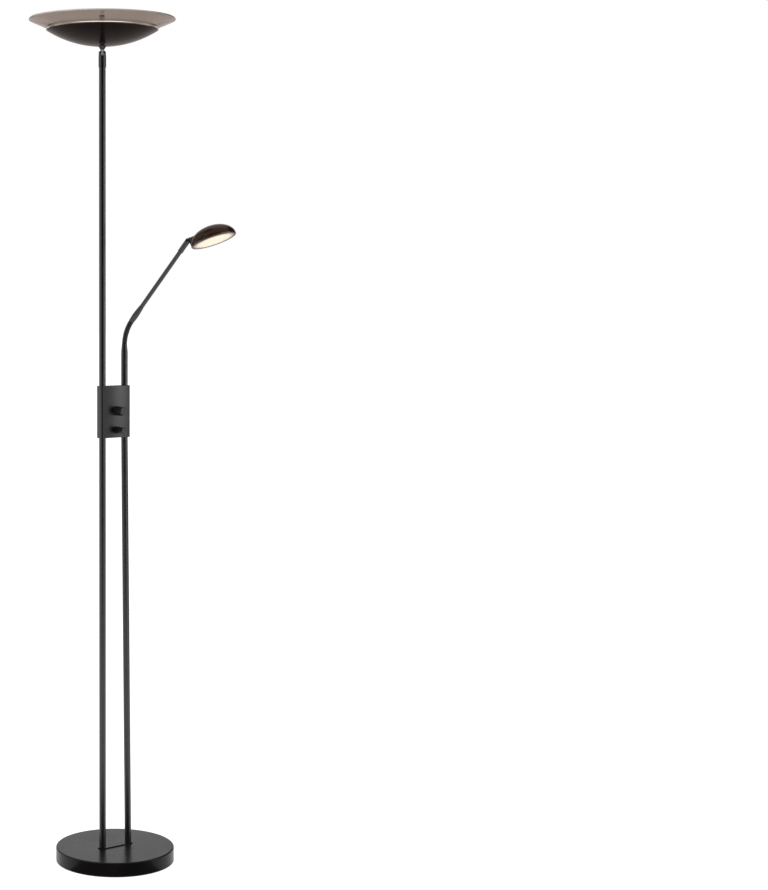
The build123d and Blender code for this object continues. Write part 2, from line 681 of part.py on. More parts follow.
def make_uplight():
    """Stem, bowl, LED plate and bars, clear diffuser, glass ring, clips and screws."""
    stem = tube(stem_diameter, stem_bore, dish_bottom - stem_socket + slip_gap, stem_top)
    save("stem_tube", head_place * stem)
    low_nut = dish_bottom + dish_wall
    stem_hole = stem_diameter + 2 * slip_gap
    save("stem_nuts",
         head_place * hex_nut(stem_nut_flats, stem_hole, low_nut, low_nut + stem_nut_height),
         head_place * hex_nut(stem_nut_flats, stem_hole, led_plate_top,
                              led_plate_top + stem_nut_height))
    save("plate_spacer", head_place * tube(spacer_diameter, stem_hole,
                                           low_nut + stem_nut_height, led_plate_bottom))

    rim = (dish_radius, dish_rim_height)
    lip = (lip_radius, lip_height)
    seat = (seat_inner_radius, seat_height(seat_inner_radius))
    under_seat = (seat[0], seat[1] - dish_wall / shade_cosine)
    under_lip = mitre(rim, lip, seat, dish_wall)
    skin_end = lip_radius + dish_wall / 2
    inner_flat = math.sqrt((bowl_sphere - dish_wall)**2 - (bowl_centre_rise - dish_wall)**2)
    hole = stem_diameter / 2 + slip_gap
    dish = turned_edges(
        Line((hole, 0, dish_bottom), (dish_flat_radius, 0, dish_bottom)),
        bowl_arc(dish_flat_radius, dish_radius, 0),
        Polyline((rim[0], 0, rim[1]), (lip[0], 0, lip[1]), (seat[0], 0, seat[1]),
                 (under_seat[0], 0, under_seat[1]), (under_lip[0], 0, under_lip[1]),
                 (skin_end, 0, bowl_height(skin_end, dish_wall))),
        bowl_arc(inner_flat, skin_end, dish_wall),
        Polyline((inner_flat, 0, dish_bottom + dish_wall), (hole, 0, dish_bottom + dish_wall),
                 (hole, 0, dish_bottom)),
    )
    save("uplight_dish", head_place * dish)

    # front well faces -Y of the head's own frame
    wells = dict(count=well_count, start=-90)
    post = rod(post_diameter, led_plate_top, well_floor - diffuser_wall - seat_gap)
    screw_bottom = led_plate_bottom - shade_screw_tail
    screw_hole = rod(shade_screw_diameter + 2 * slip_gap, screw_bottom, diffuser_top)
    plate = rod(2 * led_plate_radius, led_plate_bottom, led_plate_top)
    for piece in around(radius=shade_screw_circle_radius, shape=post, **wells):
        plate += piece
    for piece in around(radius=shade_screw_circle_radius, shape=screw_hole, **wells):
        plate -= piece
    plate -= rod(stem_hole, led_plate_bottom, led_plate_top)
    save("led_plate", head_place * plate)

    bar = block((0, led_bar_length), (-led_bar_width / 2, led_bar_width / 2),
                (led_plate_top, led_plate_top + led_bar_height))
    save("led_bars", *[head_place * piece
                       for piece in around(led_bar_count, led_bar_inner_radius, bar, 90)])

    terminal = extrude(SlotOverall(terminal_length, terminal_width), amount=terminal_height)
    for side in (-1, 1):
        terminal += Pos(side * terminal_pin_spacing / 2, 0, 0) * rod(
            terminal_pin_diameter, terminal_height, terminal_height + terminal_pin_diameter)
    save("wire_terminal", head_place * Pos(0, terminal_radius, led_plate_top) * terminal)

    inside = diffuser_radius - diffuser_wall
    cavity = rod(2 * inside, led_plate_top, diffuser_top - diffuser_wall)
    for piece in around(radius=well_circle_radius, **wells,
                        shape=rod(2 * (well_radius + diffuser_wall), well_floor - diffuser_wall,
                                  diffuser_top)):
        cavity -= piece
    cover = turned([(0, led_plate_top), (diffuser_radius, led_plate_top),
                    (diffuser_radius, diffuser_top - diffuser_edge),
                    (diffuser_radius - diffuser_edge, diffuser_top), (0, diffuser_top)])
    cover -= cavity
    for piece in around(radius=well_circle_radius, **wells,
                        shape=rod(2 * well_radius, well_floor, diffuser_top)):
        cover -= piece
    for piece in around(radius=shade_screw_circle_radius, shape=screw_hole, **wells):
        cover -= piece
    save("diffuser", head_place * cover)

    def glass_point(radius, lift):
        """Point on the ring's lower face, lifted square to the glass."""
        return (radius - lift * shade_sine,
                seat_height(radius) + seat_gap + lift * shade_cosine)

    ring = bevelled([glass_point(shade_inner_radius, 0), glass_point(shade_radius, 0),
                     glass_point(shade_radius, shade_thickness),
                     glass_point(shade_inner_radius, shade_thickness)], shade_edge)
    save("glass_shade", head_place * turned(ring))

    def clip_height(radius, lift):
        """Height above the glass, lifted square to it, at a radius from the axis."""
        return seat_height(radius) + (shade_thickness + seat_gap + lift) / shade_cosine

    riser_out = diffuser_radius - clip_riser_inset
    riser_in = riser_out - clip_thickness
    outline = [(clip_inner_radius, well_floor), (riser_out, well_floor),
               (riser_out, clip_height(riser_out, seat_gap)),
               (clip_outer_radius, clip_height(clip_outer_radius, seat_gap)),
               (clip_outer_radius, clip_height(clip_outer_radius, seat_gap + clip_thickness)),
               (riser_in, clip_height(riser_in, seat_gap + clip_thickness)),
               (riser_in, well_floor + clip_thickness),
               (clip_inner_radius, well_floor + clip_thickness)]
    face = make_face(Polyline(*[(r, 0, z) for r, z in outline], close=True).edges())
    clip = extrude(face, amount=clip_width / 2, both=True)
    clip -= Pos(shade_screw_circle_radius, 0, 0) * screw_hole
    save("glass_clips", *[head_place * piece for piece in around(radius=0, shape=clip, **wells)])

    head_low = well_floor + clip_thickness
    screw = rod(shade_screw_diameter, screw_bottom, head_low)
    screw += rod(shade_screw_head_diameter, head_low, head_low + shade_screw_head_height)
    arm = shade_screw_head_diameter * 0.3
    slot = shade_screw_head_diameter * 0.08
    for width, depth in ((arm, slot), (slot, arm)):
        screw -= block((-width, width), (-depth, depth),
                       (head_low + shade_screw_head_height / 2, diffuser_top))
    save("shade_screws", *[head_place * piece
                           for piece in around(radius=shade_screw_circle_radius, shape=screw,
                                               **wells)])


# --------------------------------------------------------------- reading arm
arm_place = Pos(stub_x, 0, 0) * Rot(0, 0, arm_yaw)
first_hinge = stub_top + rub_gap + ferrule_rise + link_gap / 2


def hinge_frames():
    """Frames of the gooseneck's hinges, each with its Z along the link above it."""
    frames = []
    reach, height = 0.0, first_hinge
    for hinge in range(1, link_count + 2):
        tilt = hinge * hinge_step
        frames.append(arm_place * Pos(reach, 0, height) * Rot(0, tilt, 0))
        reach += link_pitch * math.sin(math.radians(tilt))
        height += link_pitch * math.cos(math.radians(tilt))
    return frames


def make_gooseneck():
    """Tapered swivel fitting and the ball-jointed, ribbed links of the flexible neck."""
    bottom = stub_top + rub_gap
    top = bottom + ferrule_rise
    fitting = turned([(0, bottom - spigot_length), (pole_bore / 2 - slip_gap,
                                                    bottom - spigot_length),
                      (pole_bore / 2 - slip_gap, bottom), (pole_diameter / 2, bottom),
                      (ferrule_top_radius, top), (0, top)])
    fitting += Pos(0, 0, first_hinge) * Sphere(ball_radius)
    fitting -= rod(2 * wire_radius, bottom - spigot_length, first_hinge + ball_radius)
    save("gooseneck_fitting", arm_place * fitting)

    low = link_gap / 2
    high = link_pitch - link_gap / 2
    outline = [(0, low), (link_radius, low)]
    for groove in range(1, rib_count):
        middle = low + (high - low) * groove / rib_count
        for height, radius in ((-0.5, link_radius), (-0.25, link_radius - rib_groove_depth),
                               (0.25, link_radius - rib_groove_depth), (0.5, link_radius)):
            outline.append((radius, middle + height * rib_groove_width))
    outline += [(link_radius, high), (0, high)]
    link = turned(outline) + Pos(0, 0, link_pitch) * Sphere(ball_radius)
    link -= Sphere(ball_radius + joint_gap)
    link -= rod(2 * wire_radius, 0, link_pitch + ball_radius)
    frames = hinge_frames()
    for number, frame in enumerate(frames[:-1], start=1):
        save(f"gooseneck_link_{number}", frame * link)

    socket = arm_diameter / 2 + slip_gap
    grip = turned([(0, low), (link_radius + rub_gap, low), (grip_radius, grip_start),
                   (grip_radius, grip_end), (grip_tip_radius, grip_length),
                   (socket, grip_length), (socket, arm_socket_start), (0, arm_socket_start)])
    grip -= Sphere(ball_radius + joint_gap)
    grip -= rod(2 * wire_radius, 0, arm_socket_start)
    save("arm_ferrule", frames[-1] * grip)


def make_reading_arm():
    """Thin arm tube, the forked sleeve at its tip, and its pivot screw and nut."""
    base = hinge_frames()[-1]
    sleeve_start = arm_pivot_distance - arm_knuckle_skirt
    tube_end = sleeve_start + arm_knuckle_solid
    save("reading_arm_tube", base * tube(arm_diameter, arm_diameter - 2 * arm_wall,
                                         arm_socket_start, tube_end))
    pivot = base * Pos(0, 0, arm_pivot_distance) * Rot(0, 0, 90)
    slot = arm_tongue_thickness + 2 * slip_gap
    sleeve = clevis(arm_pivot_radius, arm_knuckle_skirt, arm_knuckle_solid,
                    arm_diameter / 2 + slip_gap, slot, arm_tongue_diameter / 2 + joint_gap,
                    wire_radius)
    reach = arm_pivot_radius
    head_side = -reach + pivot_end_inset + arm_pivot_head_height
    nut_side = reach - pivot_end_inset - arm_pivot_nut_height
    sleeve -= rod_x(arm_pivot_diameter + 2 * slip_gap, -reach, reach)
    sleeve -= rod_x(arm_pivot_head_diameter + 2 * slip_gap, -2 * reach, head_side)
    sleeve -= Rot(0, 90, 0) * hexagon(arm_pivot_nut_flats + 2 * slip_gap, nut_side, 2 * reach)
    save("arm_knuckle_sleeve", pivot * sleeve)
    screw = rod_x(arm_pivot_head_diameter, head_side - arm_pivot_head_height, head_side)
    screw += rod_x(arm_pivot_diameter, head_side, reach - pivot_end_inset)
    save("arm_pivot_screw", pivot * screw)
    nut = hex_nut(arm_pivot_nut_flats, arm_pivot_diameter + 2 * slip_gap, nut_side,
                  nut_side + arm_pivot_nut_height)
    save("arm_pivot_nut", pivot * Rot(0, 90, 0) * nut)


# -------------------------------------------------------------- reading head
def half_ellipsoid(radius, height):
    """Solid dome on the plane z = 0: a quarter ellipse turned about Z."""
    quarter = Plane.XZ * EllipticalCenterArc((0, 0), radius, height, start_angle=0, arc_size=90)
    return turned_edges(quarter, Polyline((0, 0, height), (0, 0, 0), (radius, 0, 0)))


def make_reading_head():
    """Dome with its side boss, tongue, LED board, LEDs, lens and clear rim ring."""
    arm_frame = hinge_frames()[-1] * Pos(0, 0, arm_pivot_distance)
    pivot = arm_frame * Rot(0, -(link_bend + reading_lean), 0)
    place = pivot * Pos(reading_pivot_reach, 0, -reading_pivot_rise)

    outer = half_ellipsoid(reading_radius, reading_height)
    inner = half_ellipsoid(reading_radius - reading_wall, reading_height - reading_wall)
    boss = Pos(0, 0, reading_boss_rise) * rod_x(2 * reading_boss_radius, -reading_radius,
                                                -reading_radius / 2)
    boss &= slab(0, reading_height)
    board_top = reading_board_rise + reading_board_thickness
    posts = dict(count=3, radius=reading_post_circle_radius, start=60)
    dome = outer + boss
    cavity = inner
    for post in around(shape=rod(reading_post_diameter, board_top, reading_height), **posts):
        cavity -= post
    dome -= cavity
    screw_top = board_top + reading_screw_length
    for hole in around(shape=rod(reading_screw_diameter + 2 * slip_gap, board_top,
                                 screw_top + slip_gap), **posts):
        dome -= hole
    spigot_end = -reading_radius + reading_spigot_length
    dome -= Pos(0, 0, reading_pivot_rise) * rod_x(reading_spigot_diameter + 2 * slip_gap,
                                                  -2 * reading_radius, spigot_end + slip_gap)
    save("reading_dome", place * dome)

    half = arm_tongue_thickness / 2
    flange_out = -reading_radius - reading_flange_thickness
    tongue = Pos(-reading_pivot_reach, 0, 0) * rod_y(arm_tongue_diameter, -half, half)
    tongue += block((-reading_pivot_reach, flange_out), (-half, half),
                    (-reading_web_height / 2, reading_web_height / 2))
    tongue += block((flange_out, -reading_radius),
                    (-reading_flange_width / 2, reading_flange_width / 2),
                    (-reading_flange_height / 2, reading_flange_height / 2))
    tongue += rod_x(reading_spigot_diameter, -reading_radius, spigot_end)
    tongue -= Pos(-reading_pivot_reach, 0, 0) * rod_y(arm_pivot_diameter + 2 * slip_gap,
                                                      -half, half)
    save("reading_tongue", place * Pos(0, 0, reading_pivot_rise) * tongue)

    board = rod(2 * reading_board_radius, reading_board_rise, board_top)
    for hole in around(shape=rod(reading_screw_diameter + 2 * slip_gap, reading_board_rise,
                                 board_top), **posts):
        board -= hole
    save("reading_led_board", place * board)
    screw = rod(reading_screw_diameter, reading_board_rise, screw_top)
    screw += rod(reading_screw_head_diameter, reading_board_rise - reading_screw_head_height,
                 reading_board_rise)
    save("reading_screws", *[place * piece for piece in around(shape=screw, **posts)])

    led = Pos(0, 0, reading_board_rise - reading_led_height / 2)
    led *= Box(reading_led_size, reading_led_size, reading_led_height)
    ring_step = reading_board_radius / 4
    leds = []
    for ring in (1, 2, 3.4):
        leds += around(round(6 * ring) // 3 * 3, ring_step * ring, led, 30)
    save("reading_leds", *[place * piece for piece in leds])

    lens_side = reading_lens_radius + rub_gap
    ledge = reading_lens_thickness - reading_ring_depth + rub_gap
    inner_ratio = math.sqrt(1 - (reading_ring_collar / (reading_height - reading_wall))**2)
    collar = (reading_radius - reading_wall) * inner_ratio - rub_gap
    ring = turned([(reading_radius, 0), (reading_radius, -reading_ring_lip),
                   (reading_radius + reading_ring_lip - reading_ring_depth, -reading_ring_depth),
                   (lens_side, -reading_ring_depth), (lens_side, ledge),
                   (lens_side - reading_ring_lip, ledge),
                   (lens_side - reading_ring_lip, ledge + reading_ring_lip),
                   (collar - reading_ring_collar_wall, ledge + reading_ring_lip),
                   (collar - reading_ring_collar_wall, reading_ring_collar),
                   (collar, reading_ring_collar), (collar, 0)])
    save("reading_rim_ring", place * ring)
    lens = rod(2 * reading_lens_radius, ledge - reading_lens_thickness, ledge)
    save("reading_lens", place * lens)


make_base()
make_poles()
make_control_box()
make_dimmers()
make_knuckle()
make_uplight()
make_gooseneck()
make_reading_arm()
make_reading_head()
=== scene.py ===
import json
import math

import bmesh
import bpy
import numpy as np
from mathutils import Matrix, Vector


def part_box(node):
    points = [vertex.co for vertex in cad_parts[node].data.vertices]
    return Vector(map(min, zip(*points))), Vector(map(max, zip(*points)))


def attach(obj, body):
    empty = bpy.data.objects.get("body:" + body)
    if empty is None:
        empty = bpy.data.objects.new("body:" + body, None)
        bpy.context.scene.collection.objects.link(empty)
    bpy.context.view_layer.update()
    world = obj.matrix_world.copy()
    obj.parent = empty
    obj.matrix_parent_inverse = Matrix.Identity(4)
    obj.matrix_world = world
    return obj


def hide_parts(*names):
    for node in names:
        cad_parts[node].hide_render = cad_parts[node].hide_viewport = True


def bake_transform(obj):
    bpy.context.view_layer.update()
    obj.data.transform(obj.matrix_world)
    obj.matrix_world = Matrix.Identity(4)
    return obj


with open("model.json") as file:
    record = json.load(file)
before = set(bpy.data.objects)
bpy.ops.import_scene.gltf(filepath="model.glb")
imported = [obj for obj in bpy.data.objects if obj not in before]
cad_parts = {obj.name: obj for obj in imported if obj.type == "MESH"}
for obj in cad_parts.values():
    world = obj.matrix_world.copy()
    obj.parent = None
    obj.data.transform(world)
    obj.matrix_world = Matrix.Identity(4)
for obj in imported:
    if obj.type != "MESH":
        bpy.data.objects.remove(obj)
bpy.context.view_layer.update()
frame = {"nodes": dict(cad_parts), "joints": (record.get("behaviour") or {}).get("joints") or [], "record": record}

# Torchiere floor lamp with a reading light. Sizes are millimetres in the row's own frame:
# +Z up, the main pole left of the reading pole, the dimmer knobs towards -Y.
MM = 0.001                     # one millimetre in metres
merge_distance = 0.0005        # points closer than this become one
rounding_limit = 0.49          # share of a side that a rounded corner may take

# ------------------------------------------------------------------------------ camera
camera_azimuth = 35.0          # from -Y towards -X, seen from above
camera_distance = 4071.2       # level distance from the base's axis
camera_height = 1259.4
camera_pitch = 3.25            # degrees below the horizon
focal_pixels = 1915.3
frame_pixels = 890.0           # the long side of the picture
axis_left_pixels = 269.0       # the optical axis lies this far left of the frame's middle
axis_up_pixels = 61.0          # and this far above it
sensor_width = 36.0
camera_clip = 100.0            # metres

# ------------------------------------------------------------------------------ studio
room_light = 0.6               # the white room as light; to the eye it is 1
floor_glow = 0.9
floor_reach = 30000.0          # half the floor's side
lamp_aim_height = 1000.0       # the soft boxes look at this point of the base's axis

# Flags and felt are sheets round the base's axis. Their angles are degrees from the camera's
# direction, growing to the camera's right; a half angle reaches as far to either side.
flag_columns = 49              # points along each sheet
floor_sheet_lift = 1.0
flag_distance = 3000.0
flag_foot = -500.0
flag_height = 4500.0
flag_half_angle = 36.0
right_flag_angles = (96.0, 150.0)
left_flag_angles = (-150.0, -128.0)
floor_flag_hole = 132.0
floor_flag_radius = 600.0
floor_flag_half_angle = 52.0
felt_distance = 1500.0         # the felt stands behind the lamp
felt_low = 750.0
felt_high = 3000.0
felt_half_angle = 35.0
felt_floor_half_angle = 65.0
felt_floor_hole = 140.0
felt_floor_radius = 29000.0

# ------------------------------------------------------------------------ uplight head
ring_slope = 0.4369            # rise of the glass ring per millimetre outward
ring_thickness = 4.0
ring_edge_radius = 1.5
ring_inner_gap = 2.4           # from the diffuser's side to the ring's inner edge
ring_rows = 60                 # rows of points along each face
ring_corner_steps = 7          # points on each rounded edge
ring_segments = 256
ring_beneath = 0.3             # share of the thickness that counts as the lower face
ring_rim_share = 0.9           # share of the section's slant that counts as the rim
ring_rim_margin = 0.4
lip_radius = 113.2             # where the glass leaves the bowl's lip
lip_painted_light_width = 0.9
lip_painted_light = 1.9                 # strength of the painted line of lamplight along the lip
lip_painted_light_fade = (0.49, 0.56)   # facing values between which the lip's painted light sinks
lip_painted_light_left = 0.15           # to this share
outline_painted_shade_fade = (0.6, 0.95)   # facing values between which a painted shade dims the reflection
skirt_painted_light_depths = (2.4, 1.6)      # inside the diffuser's side, where the painted amber light sets in
lens_dot_radius = 0.85
lens_dot_height = 0.5
lens_dot_sink = 0.05
lens_dot_rings = 3
lens_dot_sides = 12
dot_rows = ((3.6, 74), (8.6, 74), (14.4, 66), (20.4, 48), (27.0, 40))  # setback, count
hub_dot_rows = ((10.0, 8), (20.5, 16), (31.0, 24))                     # radius, count
well_reach = 12.5              # dots keep this far from the middle of a screw well
well_setback = 6.4
well_count = 3
well_start = -90.0
led_count = 15
led_start = 90.0
led_inner_radius = 39.3
led_length = 27.5
led_width = 6.0
ray_width = 0.95 * led_width   # reach of the light beside a bar's ray
ray_length = 0.62 * led_length
halo_length = 0.95 * led_length
ray_share = 0.56               # of the spilled light; the rest is an even halo
board_face_lift = 0.25
board_face_radius = 92.0
board_face_hole = 9.0
board_face_rings = 90
board_face_segments = 720
board_fleck = 1.12             # the lightest fleck of a board against its shade
hub_radius = 38.4              # the cap over the stem's nut
hub_height = 9.2
hub_rim_height = 1.6
hub_rim_width = 1.0
hub_rim_drop = 0.6
hub_foot_gap = 0.05
hub_rings = 24
hub_segments = 96
hub_painted_light = (0.3, 0.6)          # painted light in the middle, and what the edge has more
tongue_highlight_rise = 8.2           # the neck's black coat ends, and the painted highlight begins, this far above the knuckle's pivot
tongue_highlight_blur = 0.2

# --------------------------------------------------------------------------------- box
lid_crown = 4.2                # height of the bump's parabola across the lid
board_track_scale = 9.0        # the circuit board's pattern repeats about this often
black_coat = ("#0b0a0b", "#100f11")
black_coat_rough = (0.26, 0.33)

# --------------------------------------------------------------------------- gooseneck
neck_radius = 5.35
neck_rib_height = 0.3
neck_ribs_per_link = 4
neck_bore_radius = 4.35
neck_end_reach = 0.7           # the outer sleeves end this far past the outer hinges
neck_hinges = 7
neck_rows = 41
neck_segments = 64
link_pitch = 8.5

# ------------------------------------------------------------------------ reading head
reading_lean = 21.2            # degrees that the dome's outer side is raised
reading_reach = 57.3           # from the knuckle's pivot to the dome's axis
reading_rise = 21.05           # and down to the dome's rim
reading_lens_radius = 43.8
reading_lens_thickness = 1.8
reading_lens_top = -0.5
reading_lens_edge = 0.4
reading_lens_bevel = 0.2
reading_lens_rib_pitch = 2.4
reading_lens_rib_height = 0.12
reading_lens_rib_shade = 0.22  # glow that the ribs' crests lack
reading_lens_fade_start = 0.72
reading_lens_fade_power = 1.5
reading_lens_rings = 220
reading_lens_segments = 160
reading_board_radius = 38.0
reading_board_bottom = 8.0
reading_board_gap = 0.1
reading_board_skin = 0.08
reading_board_painted_fall = 0.45      # painted light that the board's edge lacks
reading_board_rings = 40
reading_board_segments = 120


# ------------------------------------------------------------------------------- tools
def linear(code):
    """sRGB hex colour as linear RGBA."""
    parts = [int(code[i:i + 2], 16) / 255 for i in (1, 3, 5)]
    return [c / 12.92 if c <= 0.04045 else ((c + 0.055) / 1.055) ** 2.4 for c in parts] + [1.0]


def add(tree, kind, inputs=None, **settings):
    """Add a node with its settings; inputs maps a socket's name or number to a value or output."""
    made = tree.nodes.new(kind)
    for key, value in settings.items():
        setattr(made, key, value)
    for key, value in (inputs or {}).items():
        if isinstance(value, bpy.types.NodeSocket):
            tree.links.new(value, made.inputs[key])
        else:
            made.inputs[key].default_value = value
    return made


def new_material(name):
    """An empty node material and its tree."""
    made = bpy.data.materials.new(name)
    made.use_nodes = True
    made.node_tree.nodes.clear()
    return made, made.node_tree


def grain(tree, size_mm, detail=3.0, stretch=(1.0, 1.0, 1.0)):
    """Noise over the object's own coordinates whose blobs are about size_mm wide."""
    place = add(tree, "ShaderNodeTexCoord").outputs["Object"]
    if stretch != (1.0, 1.0, 1.0):
        place = add(tree, "ShaderNodeMapping", {"Vector": place, "Scale": stretch},
                    vector_type="TEXTURE").outputs["Vector"]
    return add(tree, "ShaderNodeTexNoise",
               {"Vector": place, "Scale": 1 / (size_mm * MM), "Detail": detail,
                "Roughness": 0.55}).outputs["Fac"]


def spread(tree, value, low, high, start=0.3, end=0.7):
    """A value's way from start to end, spread over low to high, numbers or colours, and held
    at either end. Sockets 6 and 7 of the mix node are its two colours."""
    if isinstance(low, list):
        share = add(tree, "ShaderNodeMapRange",
                    {"Value": value, "From Min": start, "From Max": end}).outputs[0]
        return add(tree, "ShaderNodeMix", {"Factor": share, 6: low, 7: high},
                   data_type="RGBA").outputs[2]
    return add(tree, "ShaderNodeMapRange",
               {"Value": value, "From Min": start, "From Max": end, "To Min": low,
                "To Max": high}).outputs[0]


def from_pole(tree):
    """Distance from the main pole's axis, in metres."""
    place = add(tree, "ShaderNodeTexCoord").outputs["Object"]
    flat = add(tree, "ShaderNodeVectorMath",
               {0: place, 1: (main_pole[0] * MM, main_pole[1] * MM, 0)}, operation="SUBTRACT")
    level = add(tree, "ShaderNodeVectorMath", {0: flat.outputs[0], 1: (1, 1, 0)},
                operation="MULTIPLY")
    return add(tree, "ShaderNodeVectorMath", {0: level.outputs[0]},
               operation="LENGTH").outputs["Value"]


# ------------------------------------------------------------------------------ places
def turn_z(degrees):
    """Rotation matrix about Z."""
    c, s = math.cos(math.radians(degrees)), math.sin(math.radians(degrees))
    return np.array([[c, -s, 0], [s, c, 0], [0, 0, 1]])


def turn_y(degrees):
    """Rotation matrix about Y."""
    c, s = math.cos(math.radians(degrees)), math.sin(math.radians(degrees))
    return np.array([[c, 0, s], [0, 1, 0], [-s, 0, c]])


def box_mm(node):
    """Lowest and highest corner of a CAD node in millimetres."""
    low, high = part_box(node)
    return np.array(low) / MM, np.array(high) / MM


joints = {joint["name"]: joint for joint in frame["joints"]}
head_axis = joints["head_tilt"]["axis"]
head_yaw = math.degrees(math.atan2(head_axis[1], head_axis[0]))
main_pole = np.array(joints["head_tilt"]["pos_m"]) / MM
bend_axis = joints["gooseneck_bend_1"]["axis"]
arm_yaw = math.degrees(math.atan2(-bend_axis[0], bend_axis[1]))
diffuser_low, diffuser_high = box_mm("diffuser")
diffuser_radius = (diffuser_high[0] - diffuser_low[0]) / 2
diffuser_top = diffuser_high[2]


# --------------------------------------------------------------------------- materials
def opaque_skin(name, dark, light, rough, skin_mm, skin_depth, cloud_mm=45.0, specular=0.5):
    """Paint, plastic, rubber or cast metal: its own fine skin in the bump, slow clouds in
    colour and gloss."""
    made, tree = new_material(name)
    clouds = grain(tree, cloud_mm)
    skin = grain(tree, skin_mm, detail=2.0)
    relief = add(tree, "ShaderNodeBump", {"Height": skin, "Distance": skin_depth * MM,
                                          "Strength": 1.0}).outputs["Normal"]
    shader = add(tree, "ShaderNodeBsdfPrincipled", {
        "Base Color": spread(tree, clouds, linear(dark), linear(light)),
        "Roughness": spread(tree, clouds, rough[0], rough[1]),
        "Normal": relief,
        "Specular IOR Level": specular,
    })
    add(tree, "ShaderNodeOutputMaterial", {"Surface": shader.outputs[0]})
    return made


def powder_coat():
    """Polyester powder coat, sprayed and baked on steel tube: an even satin black with a faint
    orange peel that softens the reflections of the studio. The peel's bumps are really about
    0.8 mm; they are drawn 1.5 mm wide so that they show."""
    return opaque_skin("satin_black_powder_coat", *black_coat, rough=black_coat_rough,
                       skin_mm=1.5, skin_depth=0.004, specular=0.75)


def base_coat():
    """The same powder coat on the wide base: a little thicker and duller, so that its top shows
    the poles as soft dark streaks and its side stays nearly black."""
    return opaque_skin("base_powder_coat", "#141213", "#1b181a", rough=(0.24, 0.31),
                       skin_mm=1.5, skin_depth=0.010, cloud_mm=70.0, specular=0.13)


def crowned_lid_coat():
    """The powder coat on the box's lid. The sheet is pressed with a faint crown, so that its
    reflection slides from dark at the left to lighter at the right: the bump is a parabola
    across the lid, besides the skin's own peel."""
    made, tree = new_material("powder_coat_on_crowned_lid")
    low, high = box_mm("box_lid")
    middle, half = (low[0] + high[0]) / 2 * MM, (high[0] - low[0]) / 2 * MM
    skin = grain(tree, size_mm=1.5, detail=2.0)
    clouds = grain(tree, size_mm=45.0)
    place = add(tree, "ShaderNodeTexCoord").outputs["Object"]
    across = add(tree, "ShaderNodeSeparateXYZ", {0: place}).outputs["X"]
    offset = add(tree, "ShaderNodeMath", {0: across, 1: middle}, operation="SUBTRACT")
    share = add(tree, "ShaderNodeMath", {0: offset.outputs[0], 1: half}, operation="DIVIDE")
    square = add(tree, "ShaderNodeMath", {0: share.outputs[0], 1: share.outputs[0]},
                 operation="MULTIPLY")
    rise = add(tree, "ShaderNodeMath", {0: 1.0, 1: square.outputs[0]}, operation="SUBTRACT")
    peel = add(tree, "ShaderNodeBump", {"Height": skin, "Distance": 0.006 * MM,
                                        "Strength": 1.0})
    crown = add(tree, "ShaderNodeBump", {"Height": rise.outputs[0], "Distance": lid_crown * MM,
                                         "Strength": 1.0, "Normal": peel.outputs["Normal"]})
    shader = add(tree, "ShaderNodeBsdfPrincipled", {
        "Base Color": spread(tree, clouds, *(linear(code) for code in black_coat)),
        "Roughness": spread(tree, clouds, *black_coat_rough),
        "Normal": crown.outputs["Normal"],
    })
    add(tree, "ShaderNodeOutputMaterial", {"Surface": shader.outputs[0]})
    return made


def gooseneck_lacquer():
    """Black lacquer over a wound steel gooseneck: smooth on the crests and a little glossier
    than the powder coat, so that each turn catches a glint."""
    return opaque_skin("lacquered_gooseneck_steel", "#070708", "#0c0c0d", rough=(0.22, 0.30),
                       skin_mm=1.0, skin_depth=0.006)


def bowl_lacquer():
    """Gloss lacquer on a spun steel bowl: brown-black, nearly mirror smooth, with the long
    waves that spinning leaves in the sheet."""
    return opaque_skin("gloss_bowl_lacquer", "#150b09", "#1d110e", rough=(0.15, 0.20),
                       skin_mm=14.0, skin_depth=0.02, specular=0.075)


def dome_lacquer():
    """Gloss lacquer on a small pressed dome: brown-black and wet looking."""
    return opaque_skin("gloss_dome_lacquer", "#20130c", "#331c11", rough=(0.16, 0.22),
                       skin_mm=10.0, skin_depth=0.012, specular=0.12)


def knob_plastic():
    """ABS, injection moulded in a spark-eroded tool: black with a fine satin grain of about
    0.3 mm, drawn at 0.8 mm."""
    return opaque_skin("moulded_black_abs", "#0d0c0d", "#131213", rough=(0.34, 0.42),
                       skin_mm=0.8, skin_depth=0.02, cloud_mm=8.0)


def smoked_glass():
    """Float glass, body-tinted grey-brown, bent hot and flame polished: you see through it to
    a darker world, with sharp reflections and very slight waviness. Seen along its face the
    reflection is dimmed by a painted shade in the specular tint, so its outline stays dark.
    Its glow attribute is painted light: a line of lamplight along the bowl's lip, which the facing fades as a
    painted highlight."""
    made, tree = new_material("smoked_float_glass")
    wave = grain(tree, size_mm=60.0, detail=1.0)
    facing = add(tree, "ShaderNodeLayerWeight", {"Blend": 0.5}).outputs["Facing"]
    # painted light along the lip, faded with the facing
    glow = add(tree, "ShaderNodeAttribute", attribute_name="glow").outputs["Fac"]
    left = spread(tree, facing, 1.0, lip_painted_light_left, *lip_painted_light_fade)
    lip_painted_glow = add(tree, "ShaderNodeMath", {0: glow, 1: left}, operation="MULTIPLY").outputs[0]
    relief = add(tree, "ShaderNodeBump", {"Height": wave, "Distance": 0.05 * MM,
                                          "Strength": 1.0}).outputs["Normal"]
    shader = add(tree, "ShaderNodeBsdfPrincipled", {
        "Base Color": spread(tree, wave, linear("#82746a"), linear("#887a70")),
        # painted shade: the specular tint darkens the reflection along the outline
        "Specular Tint": spread(tree, facing, linear("#ffffff"), linear("#8a7f78"),
                                *outline_painted_shade_fade),
        "Roughness": 0.02, "IOR": 1.5, "Transmission Weight": 1.0,
        "Normal": relief,
        "Emission Color": linear("#fff0e4"), "Emission Strength": lip_painted_glow,
    })
    add(tree, "ShaderNodeOutputMaterial", {"Surface": shader.outputs[0]})
    return made


